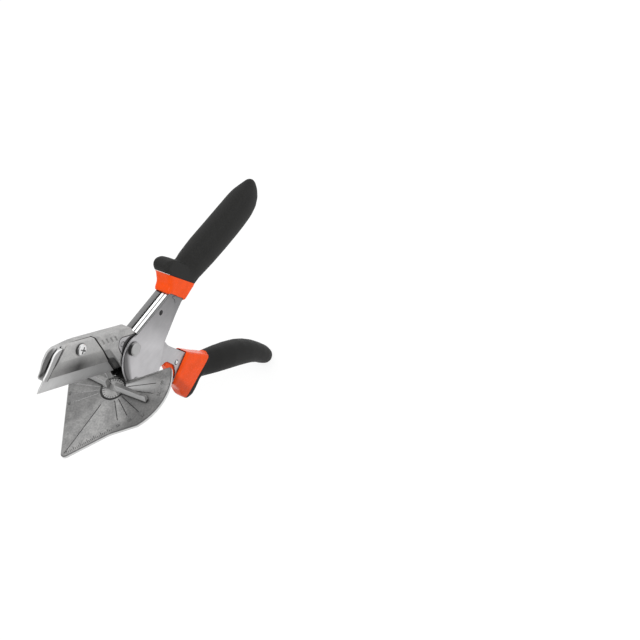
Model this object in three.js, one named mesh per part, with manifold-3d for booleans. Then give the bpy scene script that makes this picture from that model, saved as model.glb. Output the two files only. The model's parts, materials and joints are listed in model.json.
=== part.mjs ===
// Mitre shears: a hand cutter for trim and trunking, with a fan-shaped angle table under a crossed lever.
// The frame: origin at the centre of the fan on the table's face, +Z out of that face, +X towards the
// handles, and -Y towards the side where the clamp screw and the pivot bolt's head are. Millimetres.
// The table and the upper handle are one unit. The blade head and the lower handle are the other, drawn
// closed, with the edge on the table, and turned open about the pivot.

import * as THREE from 'three';
import { mergeVertices } from 'three/addons/utils/BufferGeometryUtils.js';
import Module from 'manifold-3d';

const wasm = await Module();
wasm.setup();

// Fits
const gap = 0.3; // between neighbours that touch, turn or seat
const overrun = 1; // how far a cut runs past its material
const reach = 400; // side of the blocks that split a handle

// Roundness
const turnSteps = 32; // facets round a visible disc
const holeSteps = 20; // facets round a hole or a shank
const arcStep = Math.PI / 12; // turn between points on a rounded corner
const arcParts = 10; // points of an outline nearer than this part of a gap become one

// Pivot and stroke
const pivotX = 26;
const pivotZ = 15.5;
const openAngle = THREE.MathUtils.degToRad(40.8);

// Fan table
const tableTip = 60; // fan centre to the pointed end
const tableRadius = 40.1;
const tableArcCentre = 3.2; // behind the fan's centre
const tableThickness = 2.3;
const tableTipRound = 3.2;
const tableWaistAlong = 30.3; // where the straight front edge turns out towards the arc
const tableWaistAcross = 20.4;
const tableWaistRound = 16;
const tableShoulderAngle = THREE.MathUtils.degToRad(54); // from the blade line to the arc, on the near side
const tableFarShoulderAngle = THREE.MathUtils.degToRad(80); // and on the far side, which is cut away more
const tableShoulderRound = 9;
const tableShoulderShare = 0.975; // the shoulder's corner, of the arc's radius
const tableRearOffset = 1.7; // between the last angle line and the rear edge beside it
const tableRearRound = 3;
const tableArcSteps = 14;
const centreBossRadius = 11;
const centreBossDepth = 5.2;
const carrierEnd = 18.6; // rear end of the boss that sits between the side plates
const carrierDepth = 17;
const carrierRound = 4;
const lineWidth = 0.6; // engraved angle lines
const lineDepth = 0.4;
const lineStart = 10.5;
const lineAngles = [45, 60, 75, 105, 120, 135]; // from the blade line, on both sides
const lineEndShares = [0.68, 0.68, 0.76, 0.78, 0.78, 0.88]; // of the arc's radius, one for each line
const centreLineStart = 14;
const centreLineEnd = 55;
const tickPitch = 1.25; // ruler along the front edge
const tickCount = 34;
const tickStart = 6; // from the pointed end
const tickInset = 1.5; // from the edge
const tickLengthShares = [1, 0.55, 0.55, 0.55]; // long tick, then short ones
const tickLength = 3.2;
const tickWidth = 0.35;

// Swivel fence
const discRadius = 8.5;
const discThickness = 1.1;
const discHubRadius = 4;
const discHubLength = 2.5;
const discTicks = 24;
const discTickLength = 2.4;
const fenceInner = 4; // half the opening left for the blade
const fenceReach = 30;
const fenceHeight = 6;
const fenceFoot = 4.4; // width at the bottom
const fenceFootShift = 0.8; // and its middle, behind the swivel's axis
const fenceTop = 2.9; // width at the top
const fenceTopShift = 1.45;
const fenceTaper = 1.2; // how much narrower the far end of a wing is
const fenceEndLength = 3;
const fenceEndRise = 0.9;
const fenceScrewRadius = 2;
const fenceScrewHead = 4.2;
const fenceScrewHeadHeight = 2.4;
const fenceWasherRadius = 6;
const fenceWasherThickness = 0.8;

// Upper channel, pressed from one steel sheet
const channelHalf = 5.9; // half the width over the side plates
const channelSheet = 1.4;
const channelBendRound = 2.2;
const channelTopFront = 21.5; // height of the back's outer face at its front end
const channelTopRear = 16.6; // and at the end of the tang
const channelBackStart = 34.6;
const channelEnd = 150;
const channelTangBottom = 5;
const cheekCentreX = 28.5; // centre of the ellipse that the front edge follows
const cheekCentreZ = 1;
const cheekReach = 20.2;
const cheekRise = 21;
const cheekStep = Math.PI / 18;
const footFront = 9.4; // front edge of the cheeks below the table's face
const footShares = [ // corners below and behind, from the ellipse's centre, and their rounding
  [-0.945, -0.7, 0.35],
  [-0.5, -0.976, 0.35],
  [0.25, -1.11, 0.17],
  [0.5, -0.843, 0.35],
  [1, -0.419, 0.7],
  [2, 0.019, 1.4],
  [2.45, 0.176, 0.35],
];
const lipWidth = 4.6; // the flared front margin of each cheek
const lipFlare = 1.3;
const lipTurnShare = 0.82; // of the quarter turn, over which the lip runs
const lipSteps = 10;
const bendSteps = 4;
const wireHoleX = 58.7;
const wireHoleZ = 14.6;
const wireHoleRadius = 1.9;

// Pivot hardware
const pivotShank = 3;
const pivotHeadRadius = 4.8;
const pivotHeadHeight = 2.8;
const pivotHeadDome = 0.5;
const pivotWasherRadius = 6;
const pivotWasherThickness = 1.2;
const pivotNutAcross = 10;
const pivotNutSides = 6;
const pivotNutHeight = 5;
const pivotNutCollar = 1.4; // the round lip of the locking nut
const spacerWall = 0.9;

// Return spring
const springWire = 1.1;
const springRadius = 5.2; // coil, to the wire's middle
const springLeastTurns = 2;
const springSides = 5;
const springStepsPerTurn = 8;
const springUpperReach = 30; // leg under the upper channel's back, from the pivot
const springLowerReach = 19;

// Table rivets
const rivetRadius = 1.8;
const rivetHead = 2.9;
const rivetHeadHeight = 0.8;
const rivetDomeShare = 0.9; // of its height, half way out
const tableRivetX = 14.2;
const tableRivetDepths = [7.6, 13.6];

// Lower channel
const leverHalf = channelHalf - channelSheet - gap; // half the width over the lower plates
const leverSheet = 1.3;
const leverFront = 12.3; // plates' front end, ahead of the pivot
const leverTop = 9.3;
const leverBottom = 12.8;
const leverCutTop = 2.8; // below this the front end is cut back at a slant
const leverHeel = 7.2; // ahead of the pivot, where the slant ends
const leverCutBottom = 4.6;
const leverCutRound = 2.4;
const leverFrontTopRound = 6;
const leverBellyRound = 8;
const shoulderReach = 8.15; // pivot to the face that meets the upper channel's end when open
const neckX = 20; // top edge between the shoulder and the collar
const neckZ = 2;
const crownX = 34.2;
const crownZ = 2.3;
const dipX = 39; // the top edge drops behind the crown
const dipZ = 6.9;
const dipRound = 7;
const collarEntryX = 62.8; // where the top edge enters the collar
const collarEntryZ = 18.4;
const notchTipX = 31.8;
const notchTipZ = 22.4;
const notchTopX = 38.6;
const notchTopZ = 18.6;
const notchPinX = 48.4;
const notchPinZ = 23.9;
const notchSideX = 51.6;
const notchSideZ = 31.5;
const notchFootX = 48.9;
const notchFootZ = 38.2;
const notchRound = 5;
const bellyX = 8;
const bellyZ = 14.6;
const leverEnd = 132;
const leverTangTop = 26.5;
const leverTangBottom = 38.2;
const stopPinX = 50.4;
const stopPinZ = 22.2;
const stopPinRadius = 1.6;
const stopPinDome = 0.7;
const stopPinShares = [0.7, 0.6, 0.4]; // the dome's shoulder, its height, and the far end's height

// Blade head, cast
const noseX = 80; // the nose's lowest point
const noseZ = 6.4;
const noseTipRound = 1.6;
const headTop = 15;
const headBottom = 13.6; // behind the seat
const headRearRound = 2;
const noseShares = [ // outer curve from the nose up to the top edge, of noseX and headTop, and its rounding
  [0.957, -0.1, 0.6],
  [0.878, 0.813, 0.55],
  [0.655, 1, 2],
];
const seatTop = 36.8; // the slanted rear end of the blade's seat, at the head's top
const seatBottom = 10.6; // and at the edge's level
const noseCrown = 17.6; // length of the nose ahead of the seat, at the top
const noseFoot = 5; // and at the clamp plate's bottom
const seatFrontTop = noseX - noseCrown; // the slanted front end of the seat
const seatFrontBottom = noseX - noseFoot;
const clampBottom = 6.3;
const seamDepth = 0.7; // the seam's groove across the head's top
const seamRun = 3.6; // how far it leans back from the near side to the far side
const bevelTop = 3.9; // where the flat face turns into the lower bevel
const bevelRunOutShare = 0.87; // how the cast body's bevel runs out, of its height
const bevelDepth = 2.4; // how much thinner the clamp plate is at its bottom
const headBevelDepth = 2.6; // the same on the cast body
const bladeThickness = 1.2;
const edgeGap = gap; // what the closed edge keeps from the table's face
const bladeOverhang = 5; // the blade's point ahead of the seat's lowest front corner
const bladeTip = seatFrontBottom + bladeOverhang;
const bladeTop = 5;
const bladeFrontRun = 11.6; // how far the front end leans back
const bladeGrind = 2.6; // height of the ground edge
const bladeLand = 0.12; // thickness left at the edge
const pegRadius = 1.6;
const pegFromTip = 21;
const pegFromSeat = 20.4; // from the seat's lowest rear corner
const pegPlaces = [bladeTip - pegFromTip, seatBottom + pegFromSeat]; // ahead of the pivot
const pegZ = 0.5;
const pocketLength = 12.5; // leaf-shaped hollow in the nose, half of each extent
const pocketWidth = 2.6;
const pocketDepth = 4;
const pocketBehind = 7.7; // from the nose's lowest point
const pocketX = noseX - pocketBehind;
const pocketZ = 5.2;
const pocketLean = THREE.MathUtils.degToRad(57);
const gripGrooves = 4; // short slanted grooves on the cast body
const gripGrooveFirst = 28.2;
const gripGroovePitch = 4.05;
const gripGrooveZ = 9.7;
const gripGrooveLength = 5;
const gripGrooveWidth = 0.9;
const gripGrooveDepth = 0.6;
const gripGrooveLean = THREE.MathUtils.degToRad(-50);
const diagonalX = 21.6; // where the cast body's bevel runs out
const headRivets = [[8.9, 4.4], [-1.6, -10.7]]; // ahead of the pivot and above it
const headRivetRadius = 1.6;
const armReach = 21; // the tongue's arm under the spring
const armTop = 9.4;
const armBottom = 16.6;
const springRoom = 1.2; // free space round the coil

// Clamp screw
const clampScrewBehind = 1; // from the middle of the seat's top
const clampScrewX = (seatTop + seatFrontTop) / 2 - clampScrewBehind;
const clampScrewZ = 9.4;
const clampScrewHead = 4.1;
const clampScrewHeadHeight = 2.3;
const clampScrewShares = [[0.55, 0.92], [0.85, 0.66], [1, 0.3]]; // of the head's radius and height
const clampScrewShank = 2;
const recessWidth = 0.9;
const recessReach = 2.3;
const recessDepth = 1.3;

// Handles
const upperCollarHalf = 7.2;
const lowerCollarHalf = 6.5;
const collarRound = 1.9;
const collarSteps = 3; // facets over a rounded edge
const sectionSteps = 28; // points round a grip
const sectionPower = 2.3; // a little squarer than an ellipse
const upperGripLength = 100;
const upperGripHeight = 12.6; // half
const upperGripWidth = 10.4; // half
const upperGripAxis = 14.4;
const lowerGripLength = 96.4;
const lowerGripHeight = 10.3;
const lowerGripWidth = 10.2;
const lowerGripAxis = 32.3;
const upperSplitX = 78.6; // the line where collar and grip meet
const upperSplitZ = 33.5;
const upperSplitLean = THREE.MathUtils.degToRad(28);
const upperGripBehind = 5.4; // from the split's top to the grip's first section
const upperGripStart = upperSplitX + upperGripBehind;
const lowerSplitX = 85.2;
const lowerSplitZ = 24.8;
const lowerSplitLean = THREE.MathUtils.degToRad(-33);
const lowerGripAhead = 9.2; // from the grip's first section to the split's top
const lowerGripStart = lowerSplitX - lowerGripAhead;
const upperGuardShares = [ // corners from the split's top and the grip's axis, of the grip's height
  [-0.667, 0.619, 0.16],
  [-0.27, 0.825, 0.24],
  [-0.03, 1.357, 0.32],
  [0.01, 1.952, 0.32],
  [0.4, 2.111, 0.36],
  [0.79, 1.841, 0.32],
  [1.09, 1.357, 0.32],
  [1.34, 0.841, 0.24],
  [1.46, -0.03, 0.24],
  [1.26, -0.78, 0.16],
  [0.06, -0.952, 0.16],
];
const lowerGuardShares = [
  [-2.515, 1.612, 0.2],
  [-1.087, 1.165, 0.6],
  [0.078, 0.845, 0.2],
  [0.175, -0.07, 0.3],
  [-0.6, -0.94, 0.3],
  [-0.8, -1.52, 0.3],
  [-1.09, -2.03, 0.3],
  [-1.67, -2.25, 0.34],
  [-2.32, -1.835, 0.4],
  [-2.66, -1.31, 0.4],
  [-3.27, -0.806, 0.3],
  [-3.68, -0.515, 0.2],
];
const guardTaperShares = [-0.4, -2.3, 0.66]; // from one height to the other, the width left at the tip
const coreFront = 72; // the upper collar's plug between the side plates
const coreRear = 99;
const coreBelow = 2;
const plugFront = 40; // the lower collar's plug, seen through the notch
const plugTop = 17.6;
const plugBottom = 23;
const plugEntryDrop = 4.6; // below the plates' top edge where they enter the collar
const plugWaistX = 43.5;
const plugWaistZ = 27;
const plugFootX = 46.9;
const plugFootZ = 34.2;
const plugRound = 2;
const plugTail = 8;

// Colours
const palette = {
  castAluminium: { color: 0x9a9896, roughness: 0.42, metalness: 1 },
  castHead: { color: 0xa6a4a1, roughness: 0.38, metalness: 1 },
  brightSteel: { color: 0xb4b2b3, roughness: 0.22, metalness: 1 },
  bladeSteel: { color: 0xa8a6a3, roughness: 0.3, metalness: 1 },
  darkSteel: { color: 0x2b2b2c, roughness: 0.5, metalness: 1 },
  orangePlastic: { color: 0xee5826, roughness: 0.3, metalness: 0 },
  blackRubber: { color: 0x2a2a28, roughness: 0.85, metalness: 0 },
};

// Shapes

function solid(geometry) {
  const plain = geometry.clone();
  plain.deleteAttribute('normal');
  plain.deleteAttribute('uv');
  const merged = mergeVertices(plain, gap / reach);
  const vertProperties = new Float32Array(merged.attributes.position.array);
  const triVerts = new Uint32Array(merged.index.array);
  return new wasm.Manifold(new wasm.Mesh({ numProp: 3, vertProperties, triVerts }));
}

function join(...parts) {
  return parts.reduce((sum, part) => sum.add(part));
}

function cut(body, ...tools) {
  return tools.reduce((rest, tool) => rest.subtract(tool), body);
}

// An outline whose corners [x, y, radius] are rounded, as points.
function rounded(corners) {
  const points = [];
  corners.forEach(([x, y, radius = 0], i) => {
    const here = new THREE.Vector2(x, y);
    const before = corners.at(i - 1);
    const after = corners[(i + 1) % corners.length];
    const back = new THREE.Vector2(before[0], before[1]).sub(here);
    const on = new THREE.Vector2(after[0], after[1]).sub(here);
    const room = Math.min(back.length(), on.length()) / 2;
    back.normalize();
    on.normalize();
    const half = Math.acos(THREE.MathUtils.clamp(back.dot(on), -1, 1)) / 2;
    const turn = Math.PI - 2 * half;
    if (radius === 0 || turn < arcStep / 4) {
      points.push(here);
      return;
    }
    const run = Math.min(radius / Math.tan(half), room);
    const r = run * Math.tan(half);
    const centre = here.clone().add(back.clone().add(on).normalize().multiplyScalar(r / Math.sin(half)));
    const first = here.clone().addScaledVector(back, run).sub(centre);
    const side = Math.sign(back.cross(on)) || 1;
    const steps = Math.max(1, Math.round(turn / arcStep));
    for (let k = 0; k <= steps; k++) {
      points.push(first.clone().rotateAround(new THREE.Vector2(), (-side * turn * k) / steps).add(centre));
    }
  });
  return points.filter((point, i) => point.distanceTo(points.at(i - 1)) > gap / arcParts);
}

// A flat piece standing in the XZ plane, between two places across the tool.
function plate(points, y0, y1) {
  const settings = { depth: y1 - y0, bevelEnabled: false };
  const geometry = new THREE.ExtrudeGeometry(new THREE.Shape(points), settings);
  geometry.rotateX(Math.PI / 2);
  geometry.translate(0, y1, 0);
  return solid(geometry);
}

// A flat piece lying in the XY plane, between two heights.
function slab(points, z0, z1) {
  const settings = { depth: z1 - z0, bevelEnabled: false };
  const geometry = new THREE.ExtrudeGeometry(new THREE.Shape(points), settings);
  geometry.translate(0, 0, z0);
  return solid(geometry);
}

function block(x0, x1, y0, y1, z0, z1) {
  const geometry = new THREE.BoxGeometry(x1 - x0, y1 - y0, z1 - z0);
  geometry.translate((x0 + x1) / 2, (y0 + y1) / 2, (z0 + z1) / 2);
  return solid(geometry);
}

// A pin across the tool.
function crossPin(x, z, radius, y0, y1, steps = holeSteps) {
  const geometry = new THREE.CylinderGeometry(radius, radius, y1 - y0, steps);
  geometry.translate(x, (y0 + y1) / 2, z);
  return solid(geometry);
}

// A pin standing on the table.
function standingPin(radius, z0, z1, steps = turnSteps) {
  const geometry = new THREE.CylinderGeometry(radius, radius, z1 - z0, steps);
  geometry.rotateX(Math.PI / 2);
  geometry.translate(0, 0, (z0 + z1) / 2);
  return solid(geometry);
}

// A turned piece: profile points [radius, along] about an axis along Y through (x, z).
function turned(profile, x, z, steps = turnSteps) {
  const geometry = new THREE.LatheGeometry(profile.map(([r, y]) => new THREE.Vector2(r, y)), steps);
  geometry.translate(x, 0, z);
  return outward(geometry);
}

function outward(geometry) {
  const indexed = geometry.index ? geometry : mergeVertices(geometry);
  const position = indexed.attributes.position;
  const index = indexed.index.array;
  const corner = (k) => new THREE.Vector3().fromBufferAttribute(position, index[k]);
  let volume = 0;
  for (let k = 0; k < index.length; k += 3) {
    volume += corner(k).dot(corner(k + 1).cross(corner(k + 2)));
  }
  if (volume < 0) {
    for (let k = 0; k < index.length; k += 3) {
      [index[k], index[k + 1]] = [index[k + 1], index[k]];
    }
  }
  return solid(indexed);
}

// A body through rings of points, each ring as long as the others, closed at both ends.
function loft(rings, flat) {
  const count = rings[0].length;
  const positions = rings.flat().flatMap((p) => [p.x, p.y, p.z]);
  const index = [];
  for (let r = 0; r + 1 < rings.length; r++) {
    for (let k = 0; k < count; k++) {
      const a = r * count + k;
      const b = r * count + ((k + 1) % count);
      index.push(a, b, a + count, b, b + count, a + count);
    }
  }
  const caps = THREE.ShapeUtils.triangulateShape(flat, []);
  const last = (rings.length - 1) * count;
  caps.forEach(([a, b, c]) => index.push(a, c, b, last + a, last + b, last + c));
  const sided = THREE.ShapeUtils.area(flat) < 0;
  if (sided) {
    const sides = (rings.length - 1) * count * 6;
    for (let k = sides; k < index.length; k += 3) {
      [index[k], index[k + 1]] = [index[k + 1], index[k]];
    }
  }
  const geometry = new THREE.BufferGeometry();
  geometry.setAttribute('position', new THREE.Float32BufferAttribute(positions, 3));
  geometry.setIndex(index);
  return outward(geometry);
}

// The points of a grip's section, for half sizes of one.
function ovalPoints() {
  return Array.from({ length: sectionSteps }, (_, k) => {
    const angle = (2 * Math.PI * k) / sectionSteps;
    const soften = (v) => Math.sign(v) * Math.abs(v) ** (2 / sectionPower);
    return new THREE.Vector2(soften(Math.cos(angle)), soften(Math.sin(angle)));
  });
}

// A grip along a curved axis in the XZ plane; stations are {x, z, high, wide}, half sizes.
function gripBody(stations) {
  const oval = ovalPoints();
  const rings = stations.map((station, i) => {
    const before = stations[Math.max(i - 1, 0)];
    const after = stations[Math.min(i + 1, stations.length - 1)];
    const along = new THREE.Vector2(after.x - before.x, after.z - before.z).normalize();
    return oval.map((p) => new THREE.Vector3(
      station.x - along.y * p.y * station.high,
      p.x * station.wide,
      station.z + along.x * p.y * station.high,
    ));
  });
  return loft(rings, oval);
}

// A flat-sided body with rounded edges: an outline in the XZ plane that draws in towards both sides.
function pillow(points, half, round, widthShare = () => 1) {
  const centre = points.reduce((sum, p) => sum.add(p), new THREE.Vector2()).divideScalar(points.length);
  const levels = [];
  for (let k = 0; k <= collarSteps; k++) {
    const angle = (Math.PI / 2) * (k / collarSteps);
    levels.push([half - round + round * Math.sin(angle), round * (1 - Math.cos(angle))]);
  }
  const sides = levels.map(([y, inset]) => [-y, inset]).reverse().concat(levels);
  const rings = sides.map(([y, inset]) => points.map((p, i) => {
    const before = points.at(i - 1);
    const after = points[(i + 1) % points.length];
    const tangent = after.clone().sub(before).normalize();
    const inwards = new THREE.Vector2(-tangent.y, tangent.x);
    if (inwards.dot(centre.clone().sub(p)) < 0 && THREE.ShapeUtils.area(points) < 0) inwards.negate();
    const q = p.clone().addScaledVector(inwards, inset);
    return new THREE.Vector3(q.x, y * widthShare(p.y), q.y);
  }));
  return loft(rings, points);
}

// Everything on one side of a line in the XZ plane; lean is the line's tilt from upright.
function halfSpace(x, z, lean, side, offset) {
  const geometry = new THREE.BoxGeometry(reach, reach, reach);
  geometry.translate(side * (reach / 2 + offset), 0, 0);
  geometry.rotateY(-lean);
  geometry.translate(x, 0, z);
  return solid(geometry);
}

// Height of the upper channel's back at a place along the tool.
function channelTop(x) {
  const share = (x - channelBackStart) / (channelEnd - channelBackStart);
  return THREE.MathUtils.lerp(channelTopFront, channelTopRear, share);
}

// Pieces of the table unit

function fanTable() {
  const rearX = tableRearOffset * Math.SQRT2;
  const arcEnd = (3 * Math.PI) / 4 - Math.asin((tableArcCentre - rearX) / (tableRadius * Math.SQRT2));
  const onArc = (angle, radius = tableRadius) => [
    tableArcCentre - radius * Math.cos(angle),
    -radius * Math.sin(angle),
  ];
  const plateSide = leverHalf + gap; // inner face of the side plates
  const rearStart = channelHalf + gap;
  const side = (shoulder) => [
    [-tableWaistAlong, -tableWaistAcross, tableWaistRound],
    [...onArc(shoulder, tableRadius * tableShoulderShare), tableShoulderRound],
    ...Array.from({ length: tableArcSteps - 1 }, (_, k) => {
      const angle = THREE.MathUtils.lerp(shoulder, arcEnd, (k + 1) / tableArcSteps);
      return [...onArc(angle), 0];
    }),
    [...onArc(arcEnd), tableRearRound],
    [Math.min(rearStart + rearX, footFront - gap), -rearStart, 0],
    [footFront - gap, -plateSide, 0],
    [footFront - gap, -leverHalf, 0],
    [carrierEnd, -leverHalf, 0],
  ];
  const near = side(tableShoulderAngle);
  const far = side(tableFarShoulderAngle).reverse().map(([x, y, radius]) => [x, -y, radius]);
  const fan = slab(rounded([[-tableTip, 0, tableTipRound], ...near, ...far]), -tableThickness, 0);

  const carrier = plate(rounded([
    [footFront - gap, -overrun, 0],
    [footFront - gap, -carrierDepth, carrierRound],
    [carrierEnd, -carrierDepth, carrierRound],
    [carrierEnd, -overrun, 0],
  ]), -leverHalf, leverHalf);
  const boss = standingPin(centreBossRadius, -centreBossDepth, -overrun);
  const slots = [-1, 1].map((side) => {
    const inner = side * leverHalf;
    const outer = side * (channelHalf + gap);
    return block(
      footFront - gap, carrierEnd + overrun,
      Math.min(inner, outer), Math.max(inner, outer),
      -carrierDepth - overrun, overrun,
    );
  });
  const recess = standingPin(discRadius + gap, -discThickness - gap, overrun);
  const bore = standingPin(discHubRadius + gap, -centreBossDepth - overrun, overrun);
  const centreLine = block(
    -centreLineEnd, -centreLineStart,
    -lineWidth / 2, lineWidth / 2,
    -lineDepth, overrun,
  );
  const rivetHoles = tableRivetDepths.map((depth) => crossPin(
    tableRivetX, -depth, rivetRadius + gap, -leverHalf - overrun, leverHalf + overrun,
  ));
  return cut(
    join(fan, carrier, boss),
    ...slots, recess, bore, ...rivetHoles,
    centreLine, ...angleLines(), ...rulerTicks(),
  );
}

function angleLines() {
  return lineAngles.flatMap((degrees, i) => [-1, 1].map((side) => {
    const angle = THREE.MathUtils.degToRad(degrees);
    const end = tableRadius * lineEndShares[i];
    const geometry = new THREE.BoxGeometry(end - lineStart, lineWidth, lineDepth + overrun);
    geometry.translate((lineStart + end) / 2, 0, (overrun - lineDepth) / 2);
    geometry.rotateZ(Math.PI + side * angle);
    return solid(geometry);
  }));
}

// Short marks square to the straight front edge, on the near side.
function rulerTicks() {
  const run = new THREE.Vector2(tableTip - tableWaistAlong, -tableWaistAcross);
  const lean = run.angle();
  const ticks = [];
  for (let k = 0; k < tickCount; k++) {
    const along = tickStart + k * tickPitch;
    if (along > run.length() + tickLength) break;
    const length = tickLength * tickLengthShares[k % tickLengthShares.length];
    const geometry = new THREE.BoxGeometry(tickWidth, length, lineDepth + overrun);
    geometry.translate(along, tickInset + length / 2, (overrun - lineDepth) / 2);
    geometry.rotateZ(lean);
    geometry.translate(-tableTip, 0, 0);
    ticks.push(solid(geometry));
  }
  return ticks;
}

function swivelFence() {
  const disc = standingPin(discRadius, -discThickness, 0);
  const hub = standingPin(discHubRadius, -discThickness - discHubLength, -discThickness / 2);
  const section = (taper) => [
    new THREE.Vector2(fenceFootShift - fenceFoot / 2 + taper, gap),
    new THREE.Vector2(fenceFootShift + fenceFoot / 2, gap),
    new THREE.Vector2(fenceTopShift + fenceTop / 2, fenceHeight),
    new THREE.Vector2(fenceTopShift - fenceTop / 2 + taper, fenceHeight),
  ];
  const wings = [-1, 1].flatMap((side) => {
    const ring = (y, rise) => {
      const taper = THREE.MathUtils.mapLinear(y, fenceInner, fenceReach, 0, fenceTaper);
      return section(taper).map((p) => new THREE.Vector3(p.x, side * y, p.y > gap ? p.y + rise : p.y));
    };
    const slope = fenceEndLength / 2;
    const bar = loft([
      ring(fenceInner, 0),
      ring(fenceReach - fenceEndLength - slope, -slope),
      ring(fenceReach - fenceEndLength, fenceEndRise - slope),
      ring(fenceReach, fenceEndRise - slope),
    ], section(0));
    const foot = block(
      fenceFootShift - fenceFoot / 2, fenceFootShift + fenceFoot / 2,
      Math.min(side * fenceInner, side * (discRadius - gap)),
      Math.max(side * fenceInner, side * (discRadius - gap)),
      -discThickness / 2, gap + overrun,
    );
    const rim = standingPin(discRadius, -discThickness, fenceHeight);
    return [bar, foot.intersect(rim)];
  });
  const ticks = Array.from({ length: discTicks }, (_, k) => {
    const geometry = new THREE.BoxGeometry(discTickLength, tickWidth, lineDepth + gap);
    geometry.translate(discRadius - discTickLength / 2, 0, (gap - lineDepth) / 2);
    geometry.rotateZ((2 * Math.PI * (k + 1 / 2)) / discTicks);
    return solid(geometry);
  });
  const thread = standingPin(
    fenceScrewRadius + gap, -discThickness - discHubLength - overrun, -discThickness / 2, holeSteps,
  );
  return cut(join(cut(join(disc, hub), ...ticks), ...wings), thread);
}

function fenceScrew() {
  const seat = -centreBossDepth - gap - fenceWasherThickness - gap;
  const shank = standingPin(fenceScrewRadius, seat - gap, -discThickness / 2 - gap, holeSteps);
  const head = standingPin(fenceScrewHead, seat - fenceScrewHeadHeight, seat);
  const slot = block(
    -fenceScrewHead - overrun, fenceScrewHead + overrun,
    -recessWidth / 2, recessWidth / 2,
    seat - fenceScrewHeadHeight - overrun, seat - fenceScrewHeadHeight + recessDepth,
  );
  return cut(join(shank, head), slot);
}

function fenceWasher() {
  const top = -centreBossDepth - gap;
  const ring = standingPin(fenceWasherRadius, top - fenceWasherThickness, top);
  const bore = standingPin(
    fenceScrewRadius + gap, top - fenceWasherThickness - overrun, top + overrun, holeSteps,
  );
  return cut(ring, bore);
}

// One side plate of the upper channel, from the foot below the table to the end of the tang.
function cheekOutline() {
  const front = [];
  for (let angle = Math.PI / 2; angle <= Math.PI + cheekStep / 4; angle += cheekStep) {
    front.push([cheekCentreX + cheekReach * Math.cos(angle), cheekCentreZ + cheekRise * Math.sin(angle), 0]);
  }
  const bend = channelBendRound;
  return [
    [channelEnd, channelTop(channelEnd) - bend, 0],
    [channelBackStart, channelTop(channelBackStart) - bend / 2, 0],
    ...front,
    [footFront, cheekCentreZ - gap, 0],
    ...footShares.map(([along, up, round]) => [
      cheekCentreX + cheekReach * along,
      cheekCentreZ + cheekRise * up,
      cheekReach * round,
    ]),
    [channelEnd, channelTangBottom, 0],
  ];
}

function channelBack() {
  const inner = channelHalf - channelSheet;
  const bend = channelBendRound;
  const leg = bend + channelSheet;
  const corner = (side, radius, width, top) => {
    const points = [];
    for (let k = 0; k <= bendSteps; k++) {
      const angle = (Math.PI / 2) * (k / bendSteps);
      points.push([width - radius + radius * Math.cos(angle), top - radius + radius * Math.sin(angle)]);
    }
    const list = side > 0 ? points : points.reverse().map(([y, z]) => [-y, z]);
    return list.map(([y, z]) => new THREE.Vector2(y, z));
  };
  const flat = [
    new THREE.Vector2(channelHalf, -leg),
    ...corner(1, bend, channelHalf, 0),
    ...corner(-1, bend, channelHalf, 0),
    new THREE.Vector2(-channelHalf, -leg),
    new THREE.Vector2(-inner, -leg),
    ...corner(-1, bend - channelSheet, inner, -channelSheet).reverse(),
    ...corner(1, bend - channelSheet, inner, -channelSheet).reverse(),
    new THREE.Vector2(inner, -leg),
  ];
  const ring = (x) => flat.map((p) => new THREE.Vector3(x, p.x, channelTop(x) + p.y));
  const rings = [ring(channelBackStart), ring(channelEnd)];
  return loft(rings, flat);
}

// A place on the front edge, the way inwards from it and the lip's width there.
function lipPlace(share) {
  const angle = Math.PI - (Math.PI / 2) * lipTurnShare * share;
  return {
    edge: new THREE.Vector2(
      cheekCentreX + cheekReach * Math.cos(angle),
      cheekCentreZ + cheekRise * Math.sin(angle),
    ),
    inwards: new THREE.Vector2(-Math.cos(angle) * cheekRise, -Math.sin(angle) * cheekReach).normalize(),
    width: lipWidth * (1 - share * share),
  };
}

// The margin along the front edge of a cheek, bent outwards more and more towards its foot.
function lip(side) {
  const inner = channelHalf - channelSheet;
  const section = [[1, 0], [1, 1], [1 / 2, 1], [0, 1], [0, 0], [1 / 2, 0]];
  const flat = section.map(([u, v]) => new THREE.Vector2(u, v));
  const rings = [];
  for (let k = 0; k <= lipSteps; k++) {
    const share = k / lipSteps;
    const flare = lipFlare * (1 - share);
    const { edge, inwards, width } = lipPlace(share);
    rings.push(flat.map(({ x: u, y: v }) => {
      const place = edge.clone().addScaledVector(inwards, u * (width + gap));
      const y = inner + channelSheet * v + flare * (1 - u) * (1 - u);
      return new THREE.Vector3(place.x, side * y, place.y);
    }));
  }
  return loft(rings, flat);
}

function upperChannel() {
  const inner = channelHalf - channelSheet;
  const outline = rounded(cheekOutline());
  const cheeks = [plate(outline, -channelHalf, -inner), plate(outline, inner, channelHalf)];
  const places = Array.from({ length: lipSteps + 1 }, (_, k) => lipPlace(k / lipSteps));
  const margin = [
    ...places.map(({ edge, inwards }) => edge.clone().addScaledVector(inwards, -overrun)),
    ...places.reverse().map(({ edge, inwards, width }) => edge.clone().addScaledVector(inwards, width)),
  ];
  const outside = plate(margin, -channelHalf - overrun, channelHalf + overrun);
  const trimmed = cheeks.map((cheek) => cut(cheek, outside));
  const body = join(...trimmed, channelBack(), lip(-1), lip(1));
  const through = (x, z, radius) => crossPin(x, z, radius, -channelHalf - overrun, channelHalf + overrun);
  return cut(
    body,
    through(pivotX, pivotZ, pivotShank + gap),
    through(wireHoleX, wireHoleZ, wireHoleRadius),
    ...tableRivetDepths.map((depth) => through(tableRivetX, -depth, rivetRadius + gap)),
  );
}

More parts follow.
